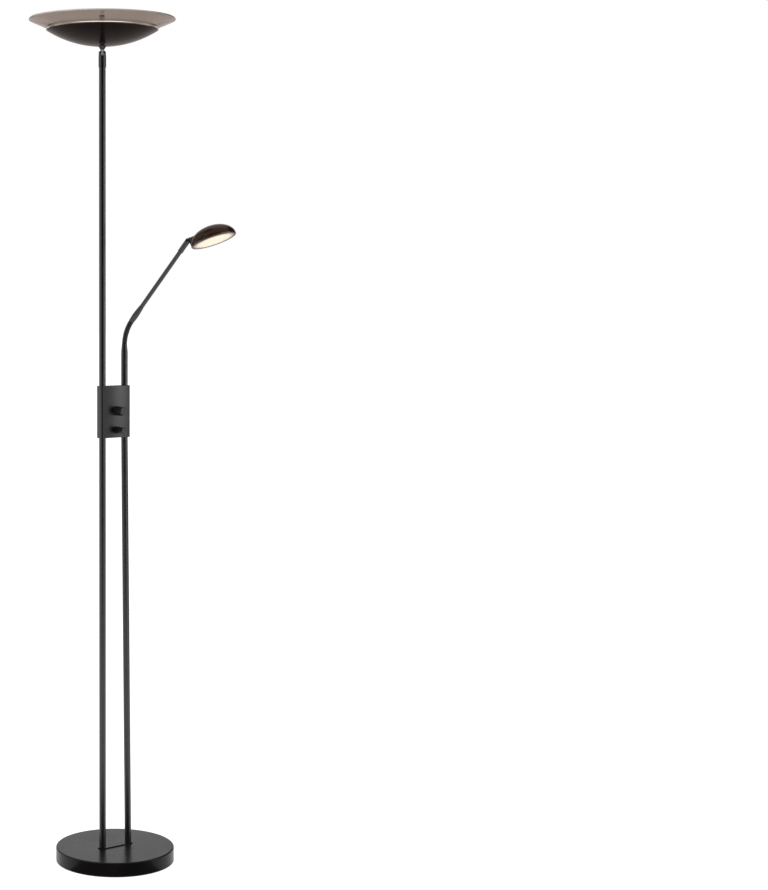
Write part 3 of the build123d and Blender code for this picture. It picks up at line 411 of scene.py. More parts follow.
def smoked_glass_edge():
    """The ring's ground and polished rim: its pale colour is painted light, the line where the lamplight leaves
    the glass.
    """
    made, tree = new_material("glass_rim_painted_light")
    wave = grain(tree, size_mm=20.0, detail=1.0)
    shader = add(tree, "ShaderNodeBsdfPrincipled", {
        "Base Color": spread(tree, wave, linear("#c4bbb2"), linear("#cdc5bd")),
        "Roughness": 0.12, "IOR": 1.5, "Transmission Weight": 0.35,
    })
    add(tree, "ShaderNodeOutputMaterial", {"Surface": shader.outputs[0]})
    return made


def clear_acrylic():
    """PMMA, injection moulded: water clear with a fine frosting of about 0.5 mm on the face,
    drawn 2 mm wide, that spreads the light of the bars. The upright skirt is painted amber-brown:
    painted light, the warm light that crosses it lengthwise."""
    made, tree = new_material("moulded_clear_acrylic")
    frost = grain(tree, size_mm=2.0, detail=2.0)
    skirt = [(diffuser_radius - depth) * MM for depth in skirt_painted_light_depths]
    relief = add(tree, "ShaderNodeBump", {"Height": frost, "Distance": 0.03 * MM,
                                          "Strength": 1.0}).outputs["Normal"]
    # the skirt's amber-brown base colour is painted light
    shader = add(tree, "ShaderNodeBsdfPrincipled", {
        "Base Color": spread(tree, from_pole(tree), linear("#f4f1ec"), linear("#a58b70"),
                             *skirt),
        "IOR": 1.49, "Transmission Weight": 1.0,
        "Roughness": spread(tree, frost, 0.05, 0.16),
        "Normal": relief,
    })
    add(tree, "ShaderNodeOutputMaterial", {"Surface": shader.outputs[0]})
    return made


def lit_lens():
    """PMMA, moulded with fine rings and lit from behind: cream-white in the middle, tan where
    the light thins out towards the rim. Its glow attribute follows the rings."""
    made, tree = new_material("ribbed_lit_acrylic")
    glow = add(tree, "ShaderNodeAttribute", attribute_name="glow").outputs["Fac"]
    cloud = grain(tree, size_mm=9.0)
    warmth = spread(tree, glow, linear("#8c6a4c"), linear("#fff0d2"), start=0.0, end=0.8)
    shader = add(tree, "ShaderNodeBsdfPrincipled", {
        "Base Color": spread(tree, cloud, linear("#e9e2d8"), linear("#f4efe8")),
        "Roughness": 0.22, "IOR": 1.49, "Transmission Weight": 0.15,
        "Emission Color": warmth,
        "Emission Strength": spread(tree, glow, 0.0, 0.66, start=0.0, end=1.0),
    })
    add(tree, "ShaderNodeOutputMaterial", {"Surface": shader.outputs[0]})
    return made


def prism_acrylic():
    """The moulded dots of the acrylic cover: polished, and faintly emissive as a painted glint, so that each holds
    a bright point.
    """
    made, tree = new_material("acrylic_dots_painted_glint")
    tone = grain(tree, size_mm=12.0)
    shader = add(tree, "ShaderNodeBsdfPrincipled", {
        "Base Color": spread(tree, tone, linear("#fbf8f2"), linear("#ffffff")),
        "Roughness": 0.08, "IOR": 1.49, "Transmission Weight": 0.45,
        "Emission Color": linear("#fff6e4"), "Emission Strength": 0.08,
    })
    add(tree, "ShaderNodeOutputMaterial", {"Surface": shader.outputs[0]})
    return made


def clip_plastic():
    """Polycarbonate, injection moulded: clear and slightly grey in the thick parts."""
    made, tree = new_material("moulded_clear_polycarbonate")
    flow = grain(tree, size_mm=9.0)
    shader = add(tree, "ShaderNodeBsdfPrincipled", {
        "Base Color": spread(tree, flow, linear("#dcdad6"), linear("#efeeeb")),
        "Roughness": spread(tree, flow, 0.06, 0.12), "IOR": 1.58, "Transmission Weight": 1.0,
    })
    add(tree, "ShaderNodeOutputMaterial", {"Surface": shader.outputs[0]})
    return made


def smoked_plastic():
    """Polycarbonate with a smoke tint, injection moulded: a grey-brown glassy rim."""
    made, tree = new_material("moulded_smoked_polycarbonate")
    flow = grain(tree, size_mm=12.0)
    shader = add(tree, "ShaderNodeBsdfPrincipled", {
        "Base Color": spread(tree, flow, linear("#4d423a"), linear("#594d44")),
        "Roughness": spread(tree, flow, 0.10, 0.18), "IOR": 1.58, "Transmission Weight": 0.35,
    })
    add(tree, "ShaderNodeOutputMaterial", {"Surface": shader.outputs[0]})
    return made


def led_phosphor():
    """Silicone with yellow phosphor over lit blue chips: a warm white glow, hotter over each
    chip."""
    made, tree = new_material("lit_led_phosphor")
    chips = grain(tree, size_mm=5.0, detail=1.0)
    shader = add(tree, "ShaderNodeBsdfPrincipled", {
        "Base Color": linear("#f3dfa0"), "Roughness": 0.5,
        "Emission Color": spread(tree, chips, linear("#ffe9bc"), linear("#fff4dc")),
        "Emission Strength": 1.7,
    })
    add(tree, "ShaderNodeOutputMaterial", {"Surface": shader.outputs[0]})
    return made


def board_with_painted_light(name, shade, lit, strength):
    """White solder mask under lit chips, with painted light: its own glow attribute says how
    much warm light spills on each point, from none to full, as emission."""
    made, tree = new_material(name)
    glow = add(tree, "ShaderNodeAttribute", attribute_name="glow").outputs["Fac"]
    fleck = grain(tree, size_mm=1.6)
    base = spread(tree, fleck, linear(shade), [board_fleck * c for c in linear(shade)])
    shader = add(tree, "ShaderNodeBsdfPrincipled", {
        "Base Color": base, "Roughness": 0.45,
        "Emission Color": spread(tree, glow, linear("#8f7f70"), linear(lit), start=0.0, end=0.6),
        "Emission Strength": spread(tree, glow, 0.0, strength, start=0.0, end=1.0),
    })
    add(tree, "ShaderNodeOutputMaterial", {"Surface": shader.outputs[0]})
    return made


def white_enamel():
    """Stoved white enamel on aluminium sheet: matt and slightly uneven."""
    return opaque_skin("white_stove_enamel", "#dcd9d3", "#e8e5e0", rough=(0.42, 0.55),
                       skin_mm=2.5, skin_depth=0.01)


def terminal_nylon():
    """Nylon, injection moulded: off-white, waxy."""
    return opaque_skin("moulded_white_nylon", "#d8d6cf", "#e6e4de", rough=(0.35, 0.45),
                       skin_mm=1.2, skin_depth=0.01, cloud_mm=6.0)


def worked_metal(name, dark, light, rough, size_mm, depth_mm, stretch=(1.0, 1.0, 1.0)):
    """Bare or plated metal with tool marks along one axis."""
    made, tree = new_material(name)
    marks = grain(tree, size_mm, stretch=stretch)
    relief = add(tree, "ShaderNodeBump", {"Height": marks, "Distance": depth_mm * MM,
                                          "Strength": 1.0}).outputs["Normal"]
    shader = add(tree, "ShaderNodeBsdfPrincipled", {
        "Base Color": spread(tree, marks, linear(dark), linear(light)), "Metallic": 1.0,
        "Roughness": spread(tree, marks, rough[0], rough[1]),
        "Normal": relief,
    })
    add(tree, "ShaderNodeOutputMaterial", {"Surface": shader.outputs[0]})
    return made


def neck_coat_with_painted_highlight():
    """The head's neck: powder-coated steel, but pale grey below a height on the tongue that
    turns in the knuckle: a painted highlight, the light spot in the fork's slot."""
    made, tree = new_material("coated_neck_painted_highlight")
    skin = grain(tree, size_mm=1.5, detail=2.0)
    place = add(tree, "ShaderNodeTexCoord").outputs["Object"]
    height = add(tree, "ShaderNodeSeparateXYZ", {0: place}).outputs["Z"]
    edge, blur = (main_pole[2] + tongue_highlight_rise) * MM, tongue_highlight_blur * MM
    relief = add(tree, "ShaderNodeBump", {"Height": skin, "Distance": 0.008 * MM,
                                          "Strength": 1.0}).outputs["Normal"]
    shader = add(tree, "ShaderNodeBsdfPrincipled", {
        # pale grey below the edge: a painted highlight
        "Base Color": spread(tree, height, linear("#0d0c0d"), linear("#efedea"),
                             edge + blur, edge - blur),
        "Roughness": spread(tree, skin, 0.30, 0.42),
        "Normal": relief,
    })
    add(tree, "ShaderNodeOutputMaterial", {"Surface": shader.outputs[0]})
    return made


def blackened_steel():
    """Small screws of the reading knuckle: heat-blackened steel with an oily shine."""
    return worked_metal("heat_blackened_steel", "#161414", "#242020", rough=(0.30, 0.42),
                        size_mm=1.5, depth_mm=0.006)


def zinc_plate():
    """Steel screws and nuts, cold headed and zinc plated: bright, a little cloudy."""
    return worked_metal("bright_zinc_plate", "#b9b8b4", "#d6d5d1", rough=(0.18, 0.32),
                        size_mm=1.5, depth_mm=0.006)


def turned_steel():
    """Mild steel turned on a lathe: fine rings about 0.3 mm apart, drawn at 0.8 mm."""
    return worked_metal("turned_mild_steel", "#8e8d8a", "#aaa9a5", rough=(0.30, 0.42),
                        size_mm=8.0, depth_mm=0.01, stretch=(1.0, 1.0, 0.1))


def pressed_steel():
    """Nickel-plated pressed steel of the dimmers: even and satin."""
    return worked_metal("nickel_plated_steel", "#a09f9a", "#b9b7b1", rough=(0.28, 0.38),
                        size_mm=2.0, depth_mm=0.004)


def circuit_board():
    """Glass-epoxy board with green solder mask: tracks about 1 mm wide show as darker lines."""
    made, tree = new_material("green_solder_mask")
    place = add(tree, "ShaderNodeTexCoord").outputs["Object"]
    tracks = add(tree, "ShaderNodeTexBrick",
                 {"Vector": place, "Scale": 1 / (board_track_scale * MM), "Mortar Size": 0.06,
                  "Color1": linear("#1d5c34"), "Color2": linear("#226a3c"),
                  "Mortar": linear("#123f24")}).outputs["Color"]
    shader = add(tree, "ShaderNodeBsdfPrincipled", {"Base Color": tracks, "Roughness": 0.35})
    add(tree, "ShaderNodeOutputMaterial", {"Surface": shader.outputs[0]})
    return made


def component_plastic():
    """Epoxy-dipped electronic parts: black and slightly glossy."""
    return opaque_skin("epoxy_component_black", "#141414", "#1c1c1c", rough=(0.3, 0.4),
                       skin_mm=1.0, skin_depth=0.01, cloud_mm=5.0)


def painted_plate():
    """Stamped steel bottom plate with dip paint: black and thin."""
    return opaque_skin("dip_painted_steel", "#1c1c1d", "#262627", rough=(0.40, 0.55),
                       skin_mm=3.0, skin_depth=0.01)


def cast_iron():
    """Grey iron cast in sand: dark, rough, with grains of about 1.5 mm."""
    return opaque_skin("sand_cast_iron", "#3a3938", "#4b4a48", rough=(0.6, 0.75),
                       skin_mm=1.5, skin_depth=0.15, cloud_mm=18.0)


def pad_rubber():
    """Moulded rubber: matt black with a dusty bloom."""
    return opaque_skin("moulded_black_rubber", "#151515", "#202020", rough=(0.65, 0.8),
                       skin_mm=2.0, skin_depth=0.04, cloud_mm=12.0)


slot_finishes = {
    "black_powder_coat": powder_coat(),
    "gooseneck_black": gooseneck_lacquer(),
    "dish_lacquer": bowl_lacquer(),
    "dome_lacquer": dome_lacquer(),
    "knob_black": knob_plastic(),
    "smoked_glass": smoked_glass(),
    "clear_acrylic": clear_acrylic(),
    "clear_clip_plastic": clip_plastic(),
    "smoked_plastic": smoked_plastic(),
    "led_light": led_phosphor(),
    "white_plate": white_enamel(),
    "terminal_white": terminal_nylon(),
    "plated_steel": zinc_plate(),
    "steel_sleeve": turned_steel(),
    "dimmer_metal": pressed_steel(),
    "circuit_board": circuit_board(),
    "component_black": component_plastic(),
    "base_steel": painted_plate(),
    "cast_iron": cast_iron(),
    "pad_rubber": pad_rubber(),
}
for subpart in frame["record"]["subparts"]:
    for holder in frame["nodes"][subpart["node"]].material_slots:
        holder.material = slot_finishes[subpart["material_slot"]]
for names, finish in ((("base_cover", "foot_plate"), base_coat()),
                      (("box_lid",), crowned_lid_coat()),
                      (("head_neck",), neck_coat_with_painted_highlight()),
                      (("arm_pivot_screw", "arm_pivot_nut"), blackened_steel())):
    for name in names:
        for holder in frame["nodes"][name].material_slots:
            holder.material = finish


# ------------------------------------------------------------------------------ shapes
def corners_of(rows, columns, wrap_rows, wrap_columns):
    """Corner numbers of the quads of a grid whose points are counted row by row."""
    row = np.arange(rows if wrap_rows else rows - 1)[:, None]
    column = np.arange(columns if wrap_columns else columns - 1)[None, :]
    up, right = (row + 1) % rows, (column + 1) % columns
    quads = np.stack([row * columns + column, row * columns + right,
                      up * columns + right, up * columns + column], axis=-1)
    return quads.reshape(-1, 4)


def piece(name, points, faces, body, slot, material=None, sharp_angle=40.0, glow=None):
    """A mesh object from points in millimetres and corner numbers, riding on a body. Points
    that fall together on an axis are merged, which closes the poles; glow is one number a
    point."""
    mesh = bpy.data.meshes.new(name)
    mesh.from_pydata((np.asarray(points) * MM).tolist(), [], faces.tolist())
    if glow is not None:
        layer = mesh.attributes.new("glow", "FLOAT", "POINT")
        layer.data.foreach_set("value", np.ravel(glow).astype(np.float32))
    shape = bmesh.new()
    shape.from_mesh(mesh)
    bmesh.ops.remove_doubles(shape, verts=shape.verts, dist=merge_distance * MM)
    shape.to_mesh(mesh)
    shape.free()
    mesh.shade_smooth()
    mesh.set_sharp_from_angle(angle=math.radians(sharp_angle))
    mesh.materials.append(material or slot_finishes[slot])
    made = bpy.data.objects.new(name, mesh)
    bpy.context.scene.collection.objects.link(made)
    if body:
        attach(made, body)
    return made


def rounded(corners, radius, steps):
    """Outline with each corner replaced by a curve: the parabola that leaves and reaches the
    two sides at the radius from the corner, with the corner as its control point."""
    corners = np.asarray(corners, float)
    share = np.linspace(0, 1, steps)[:, None]
    outline = []
    for index, corner in enumerate(corners):
        ends = []
        for other in (corners[index - 1], corners[(index + 1) % len(corners)]):
            side = other - corner
            length = np.hypot(*side)
            ends.append(corner + side * min(radius / length, rounding_limit))
        start, end = ends
        outline.append((1 - share)**2 * start + 2 * share * (1 - share) * corner + share**2 * end)
    return np.concatenate(outline)


def lathe(outline, segments, ring=True):
    """Outline of (radius, height), anticlockwise, turned about Z: point (i, j) is
    (r_i cos a_j, r_i sin a_j, z_i) with a_j at even steps. A ring's outline is closed; that
    of a solid shape starts and ends on the axis."""
    outline = np.asarray(outline, float)
    angle = np.linspace(0, 2 * np.pi, segments, endpoint=False)
    radius, height = outline[:, :1], outline[:, 1:]
    points = np.stack([radius * np.cos(angle), radius * np.sin(angle),
                       height + 0 * angle], axis=-1)
    faces = corners_of(len(outline), segments, ring, True)
    return points.reshape(-1, 3), faces


def on_head(points):
    """From the uplight's own frame, on the main pole's axis, to the row frame."""
    return points @ turn_z(head_yaw).T + [main_pole[0], main_pole[1], 0]


# ------------------------------------------------------------------------ uplight head
plate_top = box_mm("led_bars")[0][2]


def make_glass_ring():
    """Conical ring of even thickness: its section is a slim rectangle laid along the slope,
    with every edge rounded, turned about the pole's axis."""
    low, high = box_mm("glass_shade")
    inner = diffuser_radius + ring_inner_gap
    outer = (high[0] - low[0]) / 2
    cosine = 1 / math.hypot(1, ring_slope)
    sine = ring_slope * cosine
    lift = np.array([-sine, cosine]) * ring_thickness
    # the lower face is placed by the node's highest point, the upper outer corner
    outer_low = np.array([outer, high[2] - lift[1]])
    inner_low = outer_low - np.array([1, ring_slope]) * (outer - inner)
    curves = rounded([inner_low, outer_low, outer_low + lift, inner_low + lift],
                     ring_edge_radius, ring_corner_steps).reshape(4, ring_corner_steps, 2)
    share = np.linspace(0, 1, ring_rows)[1:-1, None]
    lower = curves[0][-1] + (curves[1][0] - curves[0][-1]) * share
    upper = curves[2][-1] + (curves[3][0] - curves[2][-1]) * share
    outline = np.concatenate([curves[0], lower, curves[1], curves[2], upper, curves[3]])
    points, faces = lathe(outline, ring_segments)
    reach = np.hypot(points[:, 0], points[:, 1])
    beneath = (points[:, 2]
               < low[2] + (reach - inner) * ring_slope + ring_beneath * ring_thickness)
    # painted light: a narrow line of lamplight on the lower face along the bowl's lip
    lit = np.exp(-((reach - lip_radius - lip_painted_light_width) / lip_painted_light_width)**2) * beneath
    ring = piece("smoked_glass_ring", on_head(points), faces, "uplight", "smoked_glass",
                 glow=lip_painted_light * lit)
    ring.data.materials.append(smoked_glass_edge())
    rim = reach > outer - ring_rim_share * ring_thickness * sine - ring_rim_margin
    rows = np.all(rim[faces], axis=1)
    ring.data.polygons.foreach_set("material_index", rows.astype(np.int32))
    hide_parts("glass_shade")


def lens_dot():
    """Small closed cap on the plane z = 0: foot, then a quarter ellipse up to the tip."""
    lift = np.linspace(0, np.pi / 2, lens_dot_rings + 1)
    side = np.stack([lens_dot_radius * np.cos(lift), lens_dot_height * np.sin(lift)], axis=-1)
    side[-1, 0] = 0
    return lathe(np.concatenate([[[0, 0]], side]), lens_dot_sides, ring=False)


def scatter(shape, places):
    """Copies of a small shape at many places, as one mesh."""
    points, faces = shape
    every = (points[None] + places[:, None]).reshape(-1, 3)
    shift = np.arange(len(places))[:, None, None] * len(points)
    return every, (faces[None] + shift).reshape(-1, 4)


def make_diffuser_dots():
    """Rings of moulded dots on the cover: outer rows close together, sparser inwards, left out
    over the screw wells."""
    places = []
    rows = [(diffuser_radius - setback, count) for setback, count in dot_rows]
    rows += list(hub_dot_rows)
    for index, (radius, count) in enumerate(rows):
        turn = 2 * np.pi * (np.arange(count) + 0.5 * (index % 2)) / count
        places.append(np.stack([radius * np.cos(turn), radius * np.sin(turn),
                                np.full(count, diffuser_top - lens_dot_sink)], axis=-1))
    places = np.concatenate(places)
    for well in range(well_count):
        angle = math.radians(well_start + 360 / well_count * well)
        middle = (diffuser_radius - well_setback) * np.array([math.cos(angle), math.sin(angle)])
        places = places[np.hypot(*(places[:, :2] - middle).T) > well_reach]
    points, faces = scatter(lens_dot(), places)
    piece("diffuser_dots", on_head(points), faces, "uplight", "clear_acrylic", prism_acrylic())


def spokes(radius, angle):
    """Painted light that the lit bars spill on a point, 0 to 1: a bell across the bars' rays times a
    flat bell along their length, plus an even halo, a bell of the radius alone."""
    step = 2 * np.pi / led_count
    off = (angle - math.radians(led_start) + step / 2) % step - step / 2
    across = np.exp(-(radius * off / ray_width)**2)
    middle = led_inner_radius + led_length / 2
    along = np.exp(-((radius - middle) / ray_length)**4)
    halo = np.exp(-((radius - middle) / halo_length)**2)
    return ray_share * across * along + (1 - ray_share) * halo


def make_led_board():
    """White board round the light bars: a flat polar grid with a rim, its glow attribute, the
    painted light of the bars, from the spokes formula."""
    radius = np.linspace(board_face_hole, board_face_radius, board_face_rings)
    turn = np.linspace(0, 2 * np.pi, board_face_segments, endpoint=False)
    top = plate_top + board_face_lift
    grid = np.stack([radius[:, None] * np.cos(turn), radius[:, None] * np.sin(turn),
                     np.full((len(radius), len(turn)), top)], axis=-1)
    rim = np.array([grid[0] - [0, 0, board_face_lift], grid[-1] - [0, 0, board_face_lift]])
    rows = np.concatenate([rim[:1], grid, rim[1:]])
    faces = corners_of(len(rows), len(turn), True, True)[:, ::-1]
    reach = np.hypot(rows[..., 0], rows[..., 1])
    piece("led_board_face", on_head(rows.reshape(-1, 3)), faces, "uplight", "white_plate",
          board_with_painted_light("led_board_painted_light", "#aaa29a", "#ffe9c2", strength=1.25),
          glow=spokes(reach, np.broadcast_to(turn, reach.shape)))


def make_hub_cap():
    """White cap over the stem's nut: a low lathe form, its top a parabola of the radius."""
    radius = np.linspace(hub_radius - hub_rim_width, 0, hub_rings)
    crown = (plate_top + hub_rim_height
             + (hub_height - hub_rim_height) * (1 - (radius / hub_radius)**2))
    top = np.stack([radius, crown], axis=-1)
    foot = plate_top + board_face_lift + hub_foot_gap
    outline = np.concatenate([[[0, foot], [hub_radius, foot],
                               [hub_radius, plate_top + hub_rim_height - hub_rim_drop]], top])
    points, faces = lathe(outline, hub_segments, ring=False)
    reach = np.hypot(points[:, 0], points[:, 1]) / hub_radius
    # the glow attribute is painted light, stronger towards the cap's edge
    piece("led_hub_cap", on_head(points), faces, "uplight", "white_plate",
          board_with_painted_light("hub_cap_painted_light", "#ad9d8c", "#ecd4b2", strength=0.65),
          glow=hub_painted_light[0] + hub_painted_light[1] * reach**4)


# --------------------------------------------------------------------------- gooseneck
def make_gooseneck():
    """Ribbed sleeves that bend over each hinge. The middle line is the parabola from the middle
    of one link to the middle of the next with the hinge as control point; the skin's radius is
    the neck's radius plus a helix wave, cos(turn - 2 pi ribs s), with s from 0 to 1 a link."""
    hinges = [np.array(joints[f"gooseneck_bend_{k}"]["pos_m"]) / MM
              for k in range(1, neck_hinges + 1)]
    step_tilt = math.degrees(math.acos(np.clip(
        np.dot(hinges[1] - hinges[0], [0, 0, 1]) / np.linalg.norm(hinges[1] - hinges[0]), -1, 1)))
    share = np.linspace(0, 1, neck_rows)
    turn = np.linspace(0, 2 * np.pi, neck_segments, endpoint=False)
    for k, hinge in enumerate(hinges):
        before = turn_z(arm_yaw) @ turn_y(k * step_tilt) @ [0, 0, 1]
        after = turn_z(arm_yaw) @ turn_y((k + 1) * step_tilt) @ [0, 0, 1]
        first = link_pitch / 2 if k else neck_end_reach
        last = link_pitch / 2 if k < len(hinges) - 1 else neck_end_reach
        start, end = hinge - before * first, hinge + after * last
        t = share[:, None]
        line = (1 - t)**2 * start + 2 * t * (1 - t) * hinge + t**2 * end
        ahead = (1 - t) * (hinge - start) + t * (end - hinge)
        ahead /= np.linalg.norm(ahead, axis=1)[:, None]
        side = np.array(bend_axis)
        front = np.cross(side, ahead)
        along = np.where(t < 0.5, -first + 2 * first * t, 2 * last * (t - 0.5)) / link_pitch
        wave = np.cos(turn[None, :] - 2 * np.pi * neck_ribs_per_link * (along + k))
        skin = neck_radius + neck_rib_height * wave
        ring = (np.cos(turn)[None, :, None] * front[:, None] + np.sin(turn)[None, :, None] * side)
        outer = line[:, None] + skin[..., None] * ring
        inner = line[::-1, None] + neck_bore_radius * ring[::-1]
        points = np.concatenate([outer, inner])
        faces = corners_of(2 * neck_rows, neck_segments, True, True)
        sleeve = piece(f"gooseneck_sleeve_{k + 1}", points.reshape(-1, 3), faces, None,
                       "gooseneck_black", sharp_angle=60.0)
        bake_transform(sleeve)
        if 0 < k:
            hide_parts(f"gooseneck_link_{k}")


# ------------------------------------------------------------------------ reading head
def on_reading_head(points):
    """From the dome's own frame, its rim on z = 0, to the row frame."""
    pivot = np.array(joints["reading_tilt"]["pos_m"]) / MM
    turn = turn_z(arm_yaw) @ turn_y(-reading_lean)
    return (np.asarray(points) + [reading_reach, 0, -reading_rise]) @ turn.T + pivot


def make_reading_lens():
    """Clear disc with fine rings on its lower face, whose height follows the square of a sine
    of the radius. Its glow sinks towards the rim and on the rings' crests."""
    top = reading_lens_top
    bottom = top - reading_lens_thickness
    radius = np.linspace(0, reading_lens_radius - reading_lens_edge, reading_lens_rings)
    wave = reading_lens_rib_height * np.sin(np.pi * radius / reading_lens_rib_pitch)**2
    lower = np.stack([radius, bottom + wave], axis=-1)
    side = [[reading_lens_radius, bottom + reading_lens_edge],
            [reading_lens_radius, top - reading_lens_bevel],
            [reading_lens_radius - reading_lens_bevel, top], [0, top]]
    points, faces = lathe(np.concatenate([lower, side]), reading_lens_segments, ring=False)
    reach = np.hypot(points[:, 0], points[:, 1]) / reading_lens_radius
    ribs = np.sin(np.pi * reach * reading_lens_radius / reading_lens_rib_pitch)**2
    under = np.arange(len(points)) < len(lower) * reading_lens_segments
    past = (reach - reading_lens_fade_start) / (1 - reading_lens_fade_start)
    fade = 1 - np.clip(past, 0, 1)**reading_lens_fade_power
    lit = fade * (1 - reading_lens_rib_shade * ribs) * under
    lens = piece("ribbed_reading_lens", on_reading_head(points), faces, "reading_head",
                 "clear_acrylic", lit_lens(), sharp_angle=70.0, glow=lit)
    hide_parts("reading_lens")


def make_reading_glow():
    """White board under the dome: a flat disc whose painted light falls with the radius cubed."""
    radius = np.linspace(0, reading_board_radius, reading_board_rings)
    face = np.full(len(radius), reading_board_bottom - reading_board_gap)
    under = np.stack([radius, face], axis=-1)
    outline = np.concatenate([under, under[::-1] + [0, reading_board_skin]])
    points, faces = lathe(outline, reading_board_segments, ring=False)
    reach = np.hypot(points[:, 0], points[:, 1]) / reading_board_radius
    piece("reading_board_face", on_reading_head(points), faces, "reading_head", "white_plate",
          board_with_painted_light("reading_board_painted_light", "#e4dccf", "#fff0d2", strength=0.7),
          glow=1 - reading_board_painted_fall * reach**3)


make_glass_ring()
make_diffuser_dots()
make_led_board()
make_hub_cap()
make_gooseneck()
make_reading_lens()
make_reading_glow()


# ------------------------------------------------------------------------------- stage
camera_turn = math.radians(camera_azimuth)
towards_camera = np.array([-math.sin(camera_turn), -math.cos(camera_turn), 0.0])


def seen_rays(tree):
    """1 for rays that look, reflect or pass through glass, 0 for the ones that light."""
    path = add(tree, "ShaderNodeLightPath").outputs
    seen = add(tree, "ShaderNodeMath", {0: path["Is Camera Ray"], 1: path["Is Glossy Ray"]},
               operation="MAXIMUM").outputs[0]
    return add(tree, "ShaderNodeMath", {0: seen, 1: path["Is Transmission Ray"]},
               operation="MAXIMUM").outputs[0]


def stage_sheet(name, points, faces, material):
    """A sheet of the studio, in millimetres."""
    mesh = bpy.data.meshes.new(name)
    mesh.from_pydata((points * MM).tolist(), [], np.asarray(faces).tolist())
    mesh.materials.append(material)
    made = bpy.data.objects.new(name, mesh)
    bpy.context.scene.collection.objects.link(made)
    return made


def make_floor():
    """Pale paper floor: white to the camera, but for the lamp's soft shadow."""
    made, tree = new_material("pale_paper_floor")
    fibre = grain(tree, size_mm=6.0)
    paper = add(tree, "ShaderNodeBsdfDiffuse",
                {"Color": spread(tree, fibre, linear("#a8a8a8"), linear("#b0b0b0"))}).outputs[0]
    level = add(tree, "ShaderNodeMath", {0: seen_rays(tree), 1: floor_glow},
                operation="MULTIPLY").outputs[0]
    glow = add(tree, "ShaderNodeEmission", {"Color": linear("#ffffff"), "Strength": level})
    both = add(tree, "ShaderNodeAddShader", {0: paper, 1: glow.outputs[0]})
    add(tree, "ShaderNodeOutputMaterial", {"Surface": both.outputs[0]})
    corners = np.array([[-1, -1, 0], [1, -1, 0], [1, 1, 0], [-1, 1, 0]]) * floor_reach
    stage_sheet("floor", corners, [[0, 1, 2, 3]], made)


def flag_cloth(name, dark, light):
    """Cloth of the studio's flags, with its pile as clouds in the colour."""
    made, tree = new_material(name)
    pile = grain(tree, size_mm=3.0)
    cloth = add(tree, "ShaderNodeBsdfDiffuse",
                {"Color": spread(tree, pile, linear(dark), linear(light))})
    add(tree, "ShaderNodeOutputMaterial", {"Surface": cloth.outputs[0]})
    return made


def make_flags():
    """Cloth that only reflections see, as round a photographer's set: black velvet on the
    viewer's side, at both sides of the back and on the floor before the base, and grey felt
    behind the head and on the far floor. Each is a sheet of points (r cos a, r sin a, z),
    with either r or z the same all over."""
    middle = math.atan2(towards_camera[1], towards_camera[0])
    velvet = flag_cloth("black_velvet", "#050505", "#0b0b0b")
    felt = flag_cloth("grey_felt", "#dccfcb", "#e2d6d2")
    round_lamp, upright = (flag_distance, flag_distance), (flag_foot, flag_height)
    on_floor = (floor_sheet_lift, floor_sheet_lift)
    for name, cloth, start, end, radii, heights in (
            ("front_flag", velvet, -flag_half_angle, flag_half_angle, round_lamp, upright),
            ("right_flag", velvet, *right_flag_angles, round_lamp, upright),
            ("left_flag", velvet, *left_flag_angles, round_lamp, upright),
            ("floor_flag", velvet, -floor_flag_half_angle, floor_flag_half_angle,
             (floor_flag_hole, floor_flag_radius), on_floor),
            ("back_felt", felt, 180 - felt_half_angle, 180 + felt_half_angle,
             (felt_distance, felt_distance), (felt_low, felt_high)),
            ("floor_felt", felt, 180 - felt_floor_half_angle, 180 + felt_floor_half_angle,
             (felt_floor_hole, felt_floor_radius), on_floor)):
        turn = middle + np.radians(np.linspace(start, end, flag_columns))
        radius, height = np.array(radii)[:, None], np.array(heights)[:, None]
        grid = np.stack([radius * np.cos(turn), radius * np.sin(turn), height + 0 * turn],
                        axis=-1)
        sheet = stage_sheet(name, grid.reshape(-1, 3), corners_of(2, len(turn), False, False),
                            cloth)
        sheet.visible_camera = False
        sheet.visible_diffuse = False
        sheet.visible_transmission = False
        sheet.visible_shadow = False


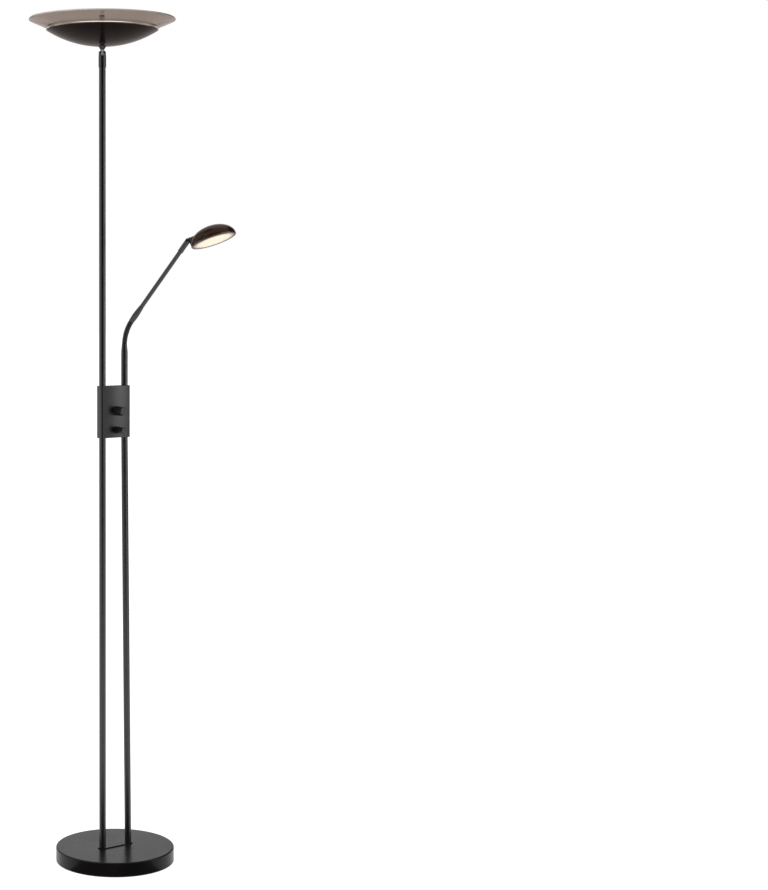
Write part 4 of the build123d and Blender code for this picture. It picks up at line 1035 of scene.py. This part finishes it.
def make_world():
    """White studio: strength 1 to the eye, in reflections and through glass, softer as light."""
    world = bpy.data.worlds.new("studio")
    bpy.context.scene.world = world
    world.use_nodes = True
    tree = world.node_tree
    tree.nodes.clear()
    strength = add(tree, "ShaderNodeMix", {0: seen_rays(tree), 2: room_light, 3: 1.0},
                   data_type="FLOAT").outputs[0]
    light = add(tree, "ShaderNodeBackground", {"Color": linear("#ffffff"), "Strength": strength})
    add(tree, "ShaderNodeOutputWorld", {"Surface": light.outputs[0]})


def soft_lamp(name, azimuth, height, distance, size, watts, mirrored):
    """Square soft box at an azimuth from -Y towards -X, aimed at the lamp's middle."""
    lamp = bpy.data.lights.new(name, "AREA")
    lamp.shape, lamp.size, lamp.energy = "SQUARE", size * MM, watts
    made = bpy.data.objects.new(name, lamp)
    turn = math.radians(azimuth)
    made.location = [-math.sin(turn) * distance * MM, -math.cos(turn) * distance * MM, height * MM]
    target = Vector((0, 0, lamp_aim_height * MM))
    made.rotation_euler = (target - made.location).to_track_quat("-Z", "Y").to_euler()
    made.visible_glossy = mirrored
    bpy.context.scene.collection.objects.link(made)


def make_camera():
    """Camera at the photograph's place: pitched down a little, its picture shifted so that the
    lamp stands at the left."""
    lens = bpy.data.cameras.new("camera")
    lens.sensor_width = sensor_width
    lens.lens = focal_pixels / frame_pixels * sensor_width
    lens.shift_x = axis_left_pixels / frame_pixels
    lens.shift_y = -axis_up_pixels / frame_pixels
    lens.clip_end = camera_clip
    made = bpy.data.objects.new("camera", lens)
    made.location = towards_camera * camera_distance * MM + [0, 0, camera_height * MM]
    made.rotation_euler = (math.radians(90 - camera_pitch), 0, -camera_turn)
    bpy.context.scene.collection.objects.link(made)
    bpy.context.scene.camera = made


make_floor()
make_flags()
make_world()
soft_lamp("top_left_box", azimuth=80, height=3200, distance=2200, size=1800, watts=60,
          mirrored=False)
soft_lamp("right_box", azimuth=-43, height=1300, distance=2500, size=1000, watts=9,
          mirrored=True)
make_camera()
bpy.context.scene.view_settings.view_transform = "Standard"
